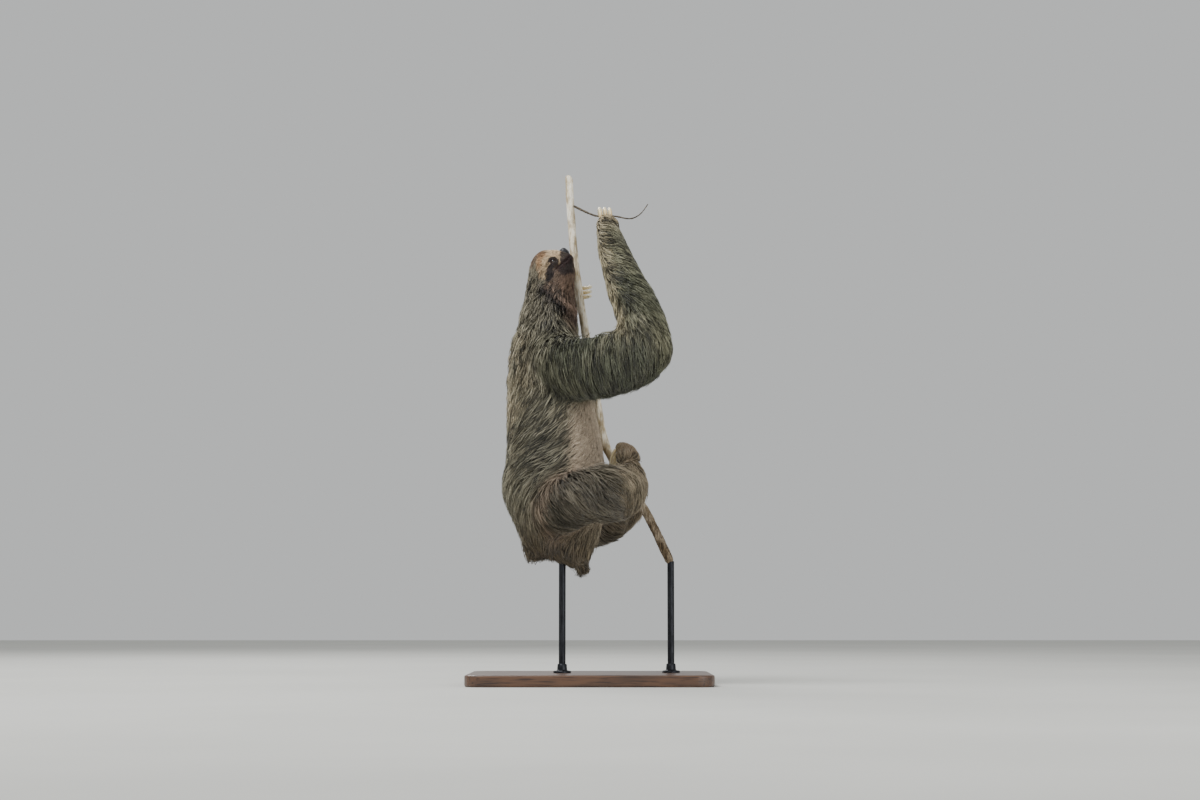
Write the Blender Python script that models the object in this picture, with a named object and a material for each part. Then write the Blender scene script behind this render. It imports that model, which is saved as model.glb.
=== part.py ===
"""Life-size model of a three-toed sloth climbing a vine, held on a plain display stand.

The animal faces +X and its right side faces -Y. Each limb, the neck, the trunk and the tail is a
lofted body whose surface is the tips of the coat. Where two bodies meet, the later one is cut
by a copy of the earlier one grown by GAP, so that they meet without an overlap.
Units are metres, +Z is up, and the origin is the centre of the underside of the stand's base.
"""

import math

import bpy
from mathutils import Vector

# Clearance between two bodies that meet.
GAP = 0.0004

# Number of faces round each kind of body, and steps between two of its stations.
TRUNK_SIDES = 24
HEAD_SIDES = 20
NECK_SIDES = 18
LIMB_SIDES = 16
PAW_SIDES = 12
CLAW_SIDES = 8
VINE_SIDES = 10
CAP_RINGS = 3
LIMB_STEPS = 2

# Trunk and neck, from level sections: height, fore-and-aft centre, half depth, half width.
TRUNK_STATIONS = (
    (0.649, -0.074, 0.020, 0.024),
    (0.638, -0.075, 0.044, 0.052),
    (0.600, -0.077, 0.0625, 0.076),
    (0.523, -0.074, 0.074, 0.083),
    (0.435, -0.064, 0.083, 0.089),
    (0.385, -0.061, 0.0875, 0.093),
    (0.335, -0.061, 0.0955, 0.094),
    (0.285, -0.052, 0.084, 0.085),
    (0.243, -0.049, 0.065, 0.064),
    (0.222, -0.037, 0.041, 0.042),
    (0.205, -0.018, 0.016, 0.019),
    (0.192, -0.010, 0.004, 0.005),
)
NECK_STATIONS = (
    (0.590, -0.077, 0.048, 0.046),
    (0.631, -0.0755, 0.0545, 0.053),
    (0.664, -0.0707, 0.0500, 0.049),
    (0.695, -0.0672, 0.0485, 0.047),
    (0.722, -0.0700, 0.0400, 0.041),
    (0.735, -0.0730, 0.0250, 0.027),
)

# Head: it looks up and forward, turned a little to its right.
HEAD_CENTRE = Vector((-0.0655, -0.002, 0.7165))
HEAD_PITCH = math.radians(55.0)
HEAD_YAW = math.radians(12.0)
# Along the face axis: distance, rise of the section's centre, half height, half width.
HEAD_STATIONS = (
    (-0.0470, 0.000, 0.006, 0.007),
    (-0.0400, 0.001, 0.024, 0.025),
    (-0.0220, 0.001, 0.040, 0.041),
    (0.0000, 0.000, 0.0475, 0.0465),
    (0.0160, 0.002, 0.0430, 0.0430),
    (0.0270, 0.003, 0.0345, 0.0345),
    (0.0345, 0.002, 0.0245, 0.0255),
    (0.0420, -0.001, 0.0165, 0.0190),
    (0.0465, -0.002, 0.0095, 0.0120),
)
EYE_RADIUS = 0.0052
EYE_PLACE = (0.0175, 0.0010, 0.0385)
NOSE_PLACE = (0.0445, 0.0050)
NOSE_HALF_SIZE = (0.0062, 0.0080, 0.0100)

# Limbs: centre of each section and its half thickness, from the body outwards.
TAIL_STATIONS = (
    ((-0.088, 0.000, 0.285), 0.026),
    ((-0.098, 0.000, 0.245), 0.021),
    ((-0.093, 0.000, 0.213), 0.008),
)
RIGHT_UPPER_ARM = (
    ((-0.078, -0.040, 0.566), 0.046),
    ((-0.035, -0.074, 0.549), 0.054),
    ((0.020, -0.098, 0.549), 0.056),
    ((0.076, -0.118, 0.561), 0.053),
)
RIGHT_FOREARM = (
    ((0.093, -0.121, 0.571), 0.051),
    ((0.092, -0.118, 0.602), 0.0455),
    ((0.079, -0.104, 0.646), 0.0410),
    ((0.061, -0.086, 0.688), 0.0375),
    ((0.0425, -0.066, 0.740), 0.0300),
    ((0.0325, -0.052, 0.778), 0.0230),
)
RIGHT_HAND = (
    ((0.0322, -0.049, 0.779), 0.0220),
    ((0.0305, -0.041, 0.797), 0.0200),
    ((0.0300, -0.037, 0.8025), 0.0150),
)
LEFT_UPPER_ARM = (
    ((-0.076, 0.030, 0.592), 0.044),
    ((-0.075, 0.100, 0.577), 0.052),
    ((-0.075, 0.160, 0.555), 0.051),
    ((-0.075, 0.200, 0.540), 0.048),
)
LEFT_FOREARM = (
    ((-0.074, 0.216, 0.546), 0.045),
    ((-0.065, 0.196, 0.580), 0.041),
    ((-0.055, 0.154, 0.614), 0.036),
    ((-0.045, 0.110, 0.650), 0.026),
)
LEFT_HAND = (
    ((-0.043, 0.102, 0.656), 0.0210),
    ((-0.034, 0.082, 0.674), 0.0185),
    ((-0.028, 0.065, 0.687), 0.0130),
)
RIGHT_THIGH = (
    ((-0.070, -0.035, 0.296), 0.050),
    ((-0.044, -0.085, 0.308), 0.052),
    ((-0.012, -0.118, 0.325), 0.0490),
)
RIGHT_SHANK = (
    ((-0.010, -0.116, 0.326), 0.0430),
    ((0.018, -0.106, 0.327), 0.0500),
    ((0.056, -0.066, 0.331), 0.0450),
    ((0.066, -0.048, 0.349), 0.0385),
)
RIGHT_FOOT = (
    ((0.068, -0.046, 0.358), 0.0250),
    ((0.068, -0.032, 0.383), 0.0210),
    ((0.064, -0.019, 0.3995), 0.0190),
    ((0.0555, -0.010, 0.4090), 0.0130),
)
LEFT_THIGH = (
    ((-0.066, 0.035, 0.290), 0.048),
    ((-0.045, 0.085, 0.290), 0.053),
    ((-0.016, 0.130, 0.288), 0.050),
)
LEFT_SHANK = (
    ((-0.008, 0.134, 0.288), 0.0480),
    ((0.032, 0.120, 0.298), 0.0430),
    ((0.068, 0.094, 0.314), 0.0340),
)
LEFT_FOOT = (
    ((0.073, 0.088, 0.322), 0.0240),
    ((0.083, 0.078, 0.342), 0.0195),
    ((0.082, 0.071, 0.353), 0.0140),
)

# Claws: three to each paw, side by side, each one an arc of the same length.
CLAW_HALF_WIDTH = 0.0026
CLAW_HALF_DEPTH = 0.0036
CLAW_TIP_SHARE = 0.28
CLAW_STEPS = 5
# For each paw: root of the middle claw, step to the next claw, first and last direction, length.
CLAW_SETS = {
    "hand_right": (
        (0.0278, -0.0345, 0.8110),
        (0.0088, -0.0010, -0.0006),
        (-0.05, 0.10, 1.00),
        (0.00, 0.35, -0.95),
        0.060,
    ),
    "hand_left": (
        (-0.0225, 0.0525, 0.6900),
        (0.0004, 0.0010, 0.0084),
        (0.97, 0.20, 0.10),
        (-0.75, -0.65, -0.10),
        0.052,
    ),
    "foot_right": (
        (0.0530, -0.0130, 0.4070),
        (0.0052, -0.0004, -0.0034),
        (-0.60, -0.30, -0.70),
        (0.42, 0.86, -0.32),
        0.056,
    ),
    "foot_left": (
        (0.0790, 0.0690, 0.3570),
        (0.0036, -0.0004, -0.0066),
        (-0.85, -0.10, 0.25),
        (-0.15, -0.85, -0.50),
        0.046,
    ),
}

# Perch: a cut length of a thin vine, and the twig from it that the raised hand hooks over.
VINE_PATH = (
    (-0.0380, 0.034, 0.900),
    (-0.0345, 0.035, 0.834),
    (-0.0255, 0.036, 0.728),
    (-0.0070, 0.036, 0.610),
    (0.0165, 0.036, 0.468),
    (0.0330, 0.037, 0.404),
    (0.0970, 0.030, 0.302),
    (0.1410, 0.020, 0.210),
)
VINE_RADIUS_TOP = 0.0070
VINE_RADIUS_FOOT = 0.0082
TWIG_PATH = (
    (-0.0345, 0.035, 0.847),
    (-0.0080, 0.013, 0.8300),
    (0.0120, -0.006, 0.8190),
    (0.0280, -0.016, 0.8185),
    (0.0480, -0.022, 0.8155),
    (0.0700, -0.025, 0.8110),
    (0.0880, -0.026, 0.8190),
    (0.1020, -0.026, 0.8380),
)
TWIG_RADIUS_ROOT = 0.0034
TWIG_RADIUS_TIP = 0.0021

# Display stand: a flat base and two rods, one under the rump and one under the vine.
BASE_LENGTH = 0.42
BASE_WIDTH = 0.32
BASE_THICKNESS = 0.020
BASE_CORNER = 0.030
BASE_CORNER_STEPS = 5
BASE_BEVEL = 0.003
ROD_RADIUS = 0.006
ROD_SIDES = 16
RUMP_ROD_PLACE = (-0.048, 0.000)
RUMP_ROD_TOP = 0.250

# Colours of the solids: linear red, green and blue, then roughness and metallic value.
FINISHES = {
    "fur": ((0.155, 0.125, 0.085), 0.90, 0.0),
    "claw": ((0.640, 0.560, 0.400), 0.35, 0.0),
    "nose": ((0.040, 0.042, 0.048), 0.40, 0.0),
    "eye": ((0.015, 0.010, 0.008), 0.10, 0.0),
    "bark": ((0.460, 0.380, 0.270), 0.80, 0.0),
    "board": ((0.110, 0.060, 0.030), 0.45, 0.0),
    "rod": ((0.120, 0.120, 0.125), 0.35, 1.0),
}


def clear_scene():
    """Remove every object from the file."""
    for old in list(bpy.data.objects):
        bpy.data.objects.remove(old)


def finish(name):
    """The Principled material of one kind of surface, made once."""
    found = bpy.data.materials.get(name)
    if found:
        return found
    colour, roughness, metallic = FINISHES[name]
    material = bpy.data.materials.new(name)
    material.use_nodes = True
    shader = material.node_tree.nodes["Principled BSDF"]
    shader.inputs["Base Color"].default_value = (*colour, 1.0)
    shader.inputs["Roughness"].default_value = roughness
    shader.inputs["Metallic"].default_value = metallic
    return material


def through(stations, steps):
    """Points of the smooth curve through the stations, each one a plain row of numbers."""
    rows = [tuple(row) for row in stations]
    rows = [tuple(2 * a - b for a, b in zip(rows[0], rows[1]))] + rows
    rows.append(tuple(2 * a - b for a, b in zip(rows[-1], rows[-2])))
    made = []
    for before, start, end, after in zip(rows, rows[1:], rows[2:], rows[3:]):
        for step in range(steps):
            t = step / steps
            weights = (
                (-t + 2 * t**2 - t**3) / 2,
                (2 - 5 * t**2 + 3 * t**3) / 2,
                (t + 4 * t**2 - 3 * t**3) / 2,
                (t**3 - t**2) / 2,
            )
            made.append(
                tuple(
                    sum(w * row[i] for w, row in zip(weights, (before, start, end, after)))
                    for i in range(len(start))
                )
            )
    made.append(rows[-2])
    return made


def ring(centre, side, up, sides):
    """Points round an ellipse with the half axes side and up."""
    turns = (2 * math.pi * i / sides for i in range(sides))
    return [centre + side * math.cos(a) + up * math.sin(a) for a in turns]


def skin_rings(name, rings, start, end, surface):
    """A closed body through rings of points, with a point beyond each end."""
    sides = len(rings[0])
    points = [p for one in rings for p in one] + [start, end]
    first, last = len(points) - 2, len(points) - 1
    faces = []
    for row in range(len(rings) - 1):
        for i in range(sides):
            j = (i + 1) % sides
            low, high = row * sides, (row + 1) * sides
            faces.append((low + i, low + j, high + j, high + i))
    top = (len(rings) - 1) * sides
    for i in range(sides):
        j = (i + 1) % sides
        faces.append((first, j, i))
        faces.append((last, top + i, top + j))
    mesh = bpy.data.meshes.new(name)
    mesh.from_pydata(points, [], faces)
    mesh.validate()
    mesh.shade_smooth()
    mesh.materials.append(finish(surface))
    made = bpy.data.objects.new(name, mesh)
    bpy.context.scene.collection.objects.link(made)
    return made


def level_body(name, stations, sides, steps, grow=0.0):
    """A body from level sections, given from the top down."""
    rows = sorted(through(stations, steps), reverse=True)
    rings = []
    for height, along, depth, width in rows:
        rings.append(
            ring(
                Vector((along, 0.0, height)),
                Vector((depth + grow, 0.0, 0.0)),
                Vector((0.0, -(width + grow), 0.0)),
                sides,
            )
        )
    top = Vector((rows[0][1], 0.0, rows[0][0] + rows[0][2] / 3 + grow))
    bottom = Vector((rows[-1][1], 0.0, rows[-1][0] - rows[-1][2] / 3 - grow))
    return skin_rings(name, rings, top, bottom, "fur")


def tube_rings(centres, halves, across, sides):
    """Rings square to the path through the centres, each with half axes (across, other way)."""
    rings = []
    for i, centre in enumerate(centres):
        ahead = centres[min(i + 1, len(centres) - 1)] - centres[max(i - 1, 0)]
        ahead.normalize()
        side = (across - ahead * across.dot(ahead)).normalized()
        up = ahead.cross(side)
        rings.append(ring(centre, side * halves[i][0], up * halves[i][1], sides))
    return rings


def limb(name, stations, across, sides=LIMB_SIDES, grow=0.0, flatten=1.0):
    """A limb with round ends through its stations; flatten is its thickness beside its width."""
    rows = through([(*place, half) for place, half in stations], LIMB_STEPS)
    centres = [Vector(row[:3]) for row in rows]
    halves = [row[3] + grow for row in rows]
    for end, step in ((0, 1), (-1, -1)):
        outward = (centres[end] - centres[end + step]).normalized()
        middle, half = centres[end].copy(), halves[end]
        for cap in range(1, CAP_RINGS):
            angle = math.pi / 2 * cap / CAP_RINGS
            place = middle + outward * half * math.sin(angle)
            at = 0 if end == 0 else len(centres)
            centres.insert(at, place)
            halves.insert(at, half * math.cos(angle))
        if end == 0:
            start = middle + outward * half
        else:
            finish_point = middle + outward * half
    pairs = [(half, half * flatten) for half in halves]
    rings = tube_rings(centres, pairs, Vector(across), sides)
    return skin_rings(name, rings, start, finish_point, "fur")


def head_axes():
    """The head's directions: along the face, up over the crown, and out to its right."""
    face = Vector(
        (
            math.cos(HEAD_PITCH) * math.cos(HEAD_YAW),
            -math.cos(HEAD_PITCH) * math.sin(HEAD_YAW),
            math.sin(HEAD_PITCH),
        )
    )
    right = Vector((-math.sin(HEAD_YAW), -math.cos(HEAD_YAW), 0.0))
    return face, right.cross(face), right


def head_body(name, grow=0.0):
    """The head with its fur, from the back of the skull to the end of the muzzle."""
    face, up, right = head_axes()
    rows = through(HEAD_STATIONS, 2)
    rings = []
    for along, rise, height, width in rows:
        centre = HEAD_CENTRE + face * along + up * rise
        rings.append(ring(centre, -right * (width + grow), up * (height + grow), HEAD_SIDES))
    back, front = rows[0], rows[-1]
    start = HEAD_CENTRE + face * (back[0] - back[2] / 3 - grow) + up * back[1]
    end = HEAD_CENTRE + face * (front[0] + front[2] / 4 + grow) + up * front[1]
    return skin_rings(name, rings, start, end, "fur")


def oval(name, centre, axes, halves, surface, sides=10, rows=6):
    """A closed oval with its half sizes along three directions."""
    along, up, side = (axis * half for axis, half in zip(axes, halves))
    rings = []
    for row in range(1, rows):
        angle = math.pi * row / rows
        middle = centre - along * math.cos(angle)
        rings.append(ring(middle, side * math.sin(angle), up * math.sin(angle), sides))
    return skin_rings(name, rings, centre - along, centre + along, surface)


def eye(name, side, grow=0.0):
    """An eyeball; side is 1 for the right eye and -1 for the left one."""
    face, up, right = head_axes()
    along, rise, out = EYE_PLACE
    centre = HEAD_CENTRE + face * along + up * rise + right * out * side
    look = (right * side + face).normalized()
    across = up.cross(look).normalized()
    half = EYE_RADIUS + grow
    return oval(name, centre, (look, up, across), (half, half, half), "eye")


def nose(name):
    """The bare pad at the end of the muzzle."""
    face, up, right = head_axes()
    centre = HEAD_CENTRE + face * NOSE_PLACE[0] + up * NOSE_PLACE[1]
    return oval(name, centre, (face, up, -right), NOSE_HALF_SIZE, "nose")


def claw(name, root, across, first, last, length):
    """A claw: an arc that turns evenly from its first direction to its last one."""
    start, end = Vector(first).normalized(), Vector(last).normalized()
    centres = [Vector(root)]
    for step in range(CLAW_STEPS):
        heading = start.slerp(end, (step + 0.5) / CLAW_STEPS)
        centres.append(centres[-1] + heading * length / CLAW_STEPS)
    halves = []
    for step in range(CLAW_STEPS + 1):
        slim = 1.0 - (1.0 - CLAW_TIP_SHARE) * (step / CLAW_STEPS) ** 2
        halves.append((CLAW_HALF_WIDTH * slim, CLAW_HALF_DEPTH * slim))
    rings = tube_rings(centres, halves, Vector(across), CLAW_SIDES)
    tip = centres[-1] + end * CLAW_HALF_DEPTH * CLAW_TIP_SHARE
    return skin_rings(name, rings, centres[0] - start * CLAW_HALF_WIDTH / 2, tip, "claw")


def stem(name, path, root_radius, tip_radius, sides, steps, grow=0.0):
    """A length of vine or twig, cut off square at both ends."""
    centres = [Vector(row) for row in through(path, steps)]
    count = len(centres) - 1
    halves = []
    for i in range(count + 1):
        half = root_radius + (tip_radius - root_radius) * i / count + grow
        halves.append((half, half))
    rings = tube_rings(centres, halves, Vector((0.0, 1.0, 0.0)), sides)
    return skin_rings(name, rings, centres[0], centres[-1], "bark")


def prism(name, outline, bottom, top, surface):
    """An upright solid over an outline of (x, y) points, given anticlockwise."""
    lower = [Vector((x, y, bottom)) for x, y in outline]
    upper = [Vector((x, y, top)) for x, y in outline]
    count = len(outline)
    faces = [tuple(reversed(range(count))), tuple(range(count, 2 * count))]
    for i in range(count):
        j = (i + 1) % count
        faces.append((i, j, count + j, count + i))
    mesh = bpy.data.meshes.new(name)
    mesh.from_pydata(lower + upper, [], faces)
    mesh.materials.append(finish(surface))
    made = bpy.data.objects.new(name, mesh)
    bpy.context.scene.collection.objects.link(made)
    return made


def rod(name, place, top):
    """An upright round rod that stands on the base."""
    turns = (2 * math.pi * i / ROD_SIDES for i in range(ROD_SIDES))
    outline = [
        (place[0] + ROD_RADIUS * math.cos(a), place[1] + ROD_RADIUS * math.sin(a)) for a in turns
    ]
    return prism(name, outline, BASE_THICKNESS + GAP, top, "rod")


def base(name):
    """The base board, with round corners and an eased top edge."""
    outline = []
    for quarter in range(4):
        sx, sy = ((1, 1), (-1, 1), (-1, -1), (1, -1))[quarter]
        middle_x = sx * (BASE_LENGTH / 2 - BASE_CORNER)
        middle_y = sy * (BASE_WIDTH / 2 - BASE_CORNER)
        for step in range(BASE_CORNER_STEPS + 1):
            a = math.pi / 2 * (quarter + step / BASE_CORNER_STEPS)
            outline.append(
                (middle_x + BASE_CORNER * math.cos(a), middle_y + BASE_CORNER * math.sin(a))
            )
    board = prism(name, outline, 0.0, BASE_THICKNESS, "board")
    bevel = board.modifiers.new("eased_edge", "BEVEL")
    bevel.width = BASE_BEVEL
    bevel.segments = 2
    bevel.limit_method = "ANGLE"
    bevel.angle_limit = math.radians(60.0)
    return board


def cut(target, cutters):
    """Take the cutters away from the target for good, and remove them."""
    for cutter in cutters:
        step = target.modifiers.new("clear_of_neighbour", "BOOLEAN")
        step.operation = "DIFFERENCE"
        step.solver = "EXACT"
        step.object = cutter
        graph = bpy.context.evaluated_depsgraph_get()
        cleared = bpy.data.meshes.new_from_object(target.evaluated_get(graph), depsgraph=graph)
        target.modifiers.clear()
        target.data = cleared
        bpy.data.objects.remove(cutter)


def trunk_body(name, grow=0.0):
    """The trunk, from the top of the shoulders to the point of the seat."""
    return level_body(name, TRUNK_STATIONS, TRUNK_SIDES, 2, grow)


def neck_body(name, grow=0.0):
    """The neck, which runs up inside the back of the head."""
    return level_body(name, NECK_STATIONS, NECK_SIDES, 2, grow)


def vine_body(name, grow=0.0):
    """The cut length of vine that the animal climbs."""
    return stem(name, VINE_PATH, VINE_RADIUS_TOP, VINE_RADIUS_FOOT, VINE_SIDES, 3, grow)


# Limb sections from the trunk outwards: stations, direction across, faces round, thickness share.
LIMBS = {
    "upper_arm_right": (RIGHT_UPPER_ARM, (0, 1, 0), LIMB_SIDES, 1.0),
    "forearm_right": (RIGHT_FOREARM, (0, 1, 0), LIMB_SIDES, 1.0),
    "hand_right": (RIGHT_HAND, (1, 0, 0), PAW_SIDES, 0.80),
    "upper_arm_left": (LEFT_UPPER_ARM, (1, 0, 0), LIMB_SIDES, 1.0),
    "forearm_left": (LEFT_FOREARM, (1, 0, 0), LIMB_SIDES, 1.0),
    "hand_left": (LEFT_HAND, (0, 0, 1), PAW_SIDES, 0.80),
    "thigh_right": (RIGHT_THIGH, (0, 0, 1), LIMB_SIDES, 1.0),
    "shank_right": (RIGHT_SHANK, (0, 0, 1), LIMB_SIDES, 1.0),
    "foot_right": (RIGHT_FOOT, (0, 1, 0), PAW_SIDES, 1.0),
    "thigh_left": (LEFT_THIGH, (0, 0, 1), LIMB_SIDES, 1.0),
    "shank_left": (LEFT_SHANK, (0, 0, 1), LIMB_SIDES, 1.0),
    "foot_left": (LEFT_FOOT, (0, 1, 0), PAW_SIDES, 1.0),
}
# What each limb section is cut clear of.
LIMB_NEIGHBOURS = {
    "upper_arm_right": ("trunk", "neck"),
    "forearm_right": ("upper_arm_right",),
    "hand_right": ("forearm_right",),
    "upper_arm_left": ("trunk", "neck"),
    "forearm_left": ("upper_arm_left",),
    "hand_left": ("forearm_left",),
    "thigh_right": ("trunk",),
    "shank_right": ("trunk", "thigh_right"),
    "foot_right": ("shank_right",),
    "thigh_left": ("trunk",),
    "shank_left": ("trunk", "thigh_left"),
    "foot_left": ("shank_left",),
}


def limb_body(name, node, grow=0.0):
    """One limb section by its node's name, or a grown copy of it under another name."""
    stations, across, sides, flatten = LIMBS[node]
    return limb(name, stations, across, sides, grow, flatten)


def grown(node):
    """A copy of a body, larger by the gap, that cuts its neighbours clear of it."""
    makers = {"trunk": trunk_body, "neck": neck_body, "head": head_body, "vine": vine_body}
    if node in makers:
        return makers[node]("cutter", GAP)
    return limb_body("cutter", node, GAP)


def build_body():
    """The trunk, neck, head, tail and face."""
    trunk_body("trunk")
    cut(neck_body("neck"), [grown("trunk"), grown("head")])
    skull = head_body("head")
    cut(skull, [eye("cutter", 1, GAP), eye("cutter", -1, GAP)])
    eye("eye_right", 1)
    eye("eye_left", -1)
    cut(nose("nose"), [grown("head")])
    cut(limb("tail", TAIL_STATIONS, (0, 1, 0), PAW_SIDES), [grown("trunk")])


def build_limbs():
    """The four limbs, each section cut clear of the one before it."""
    for node, neighbours in LIMB_NEIGHBOURS.items():
        cut(limb_body(node, node), [grown(other) for other in neighbours])
    for paw, (root, step, first, last, length) in CLAW_SETS.items():
        for number in (1, 2, 3):
            place = Vector(root) + Vector(step) * (number - 2)
            one = claw(f"claw_{paw}_{number}", place, step, first, last, length)
            cut(one, [grown(paw)])


def build_perch_and_stand():
    """The vine, its twig, the base board and the two rods."""
    vine_body("perch_vine")
    twig = stem("perch_twig", TWIG_PATH, TWIG_RADIUS_ROOT, TWIG_RADIUS_TIP, CLAW_SIDES, 3)
    cut(twig, [grown("vine")])
    base("stand_base")
    rump_rod = rod("stand_rod_rump", RUMP_ROD_PLACE, RUMP_ROD_TOP)
    cut(rump_rod, [grown("trunk")])
    foot_x, foot_y, foot_z = VINE_PATH[-1]
    vine_rod = rod("stand_rod_vine", (foot_x, foot_y), foot_z)
    cut(vine_rod, [grown("vine")])


def main():
    """Build the whole model."""
    clear_scene()
    build_body()
    build_limbs()
    build_perch_and_stand()


main()
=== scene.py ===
"""The looks of a life-size museum model of a three-toed sloth on a cut length of vine.

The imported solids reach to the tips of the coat. Here one skin replaces the nodes of flesh and
lies inside them by the depth of the coat, and the coat grows from it as solid mesh locks that
follow the lie of the hair. Face, claws, eyes, vine and stand are finished round it.
Units are metres, +Z is up, the animal faces +X and its right side faces -Y.
"""

from __future__ import annotations

import logging
import math
from collections.abc import Callable, Iterator
from contextlib import contextmanager
from dataclasses import dataclass, field, replace
from enum import Enum

import bpy
import numpy as np
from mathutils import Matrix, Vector
from mathutils.bvhtree import BVHTree
from mathutils.kdtree import KDTree


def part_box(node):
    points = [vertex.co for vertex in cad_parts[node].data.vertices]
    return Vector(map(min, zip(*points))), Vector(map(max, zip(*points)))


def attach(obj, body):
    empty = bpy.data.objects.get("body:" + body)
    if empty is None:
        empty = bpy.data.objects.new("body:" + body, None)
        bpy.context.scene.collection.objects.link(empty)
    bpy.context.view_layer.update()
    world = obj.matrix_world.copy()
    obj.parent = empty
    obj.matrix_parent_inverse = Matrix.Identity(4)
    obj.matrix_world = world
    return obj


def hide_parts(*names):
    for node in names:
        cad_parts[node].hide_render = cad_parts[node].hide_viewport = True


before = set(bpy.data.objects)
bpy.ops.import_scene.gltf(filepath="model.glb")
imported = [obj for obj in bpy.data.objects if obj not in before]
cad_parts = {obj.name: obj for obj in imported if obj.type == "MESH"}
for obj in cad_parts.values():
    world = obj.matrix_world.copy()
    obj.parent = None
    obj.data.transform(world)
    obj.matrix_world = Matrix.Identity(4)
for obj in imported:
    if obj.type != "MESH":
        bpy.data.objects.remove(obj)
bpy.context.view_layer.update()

log = logging.getLogger("sloth")
MM = 0.001
WELD = 0.00002  # points closer than this are one
BODY = "root"
BAKE_MAP = "OFBake"


class Side(Enum):
    """A side of the animal, as the sign of the distance out to its right."""

    RIGHT = 1
    LEFT = -1

    @property
    def word(self) -> str:
        """The side's word in the names of nodes and pieces."""
        return self.name.lower()


# ---------------------------------------------------------------- colours and shader nodes


def linear(code: str) -> tuple[float, float, float, float]:
    """Turn an sRGB hex colour into linear red, green, blue and alpha.

    Args:
        code: Six hex digits after a hash sign.

    Returns:
        The four linear values.
    """
    values = []
    for start in (1, 3, 5):
        share = int(code[start : start + 2], 16) / 255
        values.append(share / 12.92 if share <= 0.04045 else ((share + 0.055) / 1.055) ** 2.4)
    return (*values, 1.0)


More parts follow.
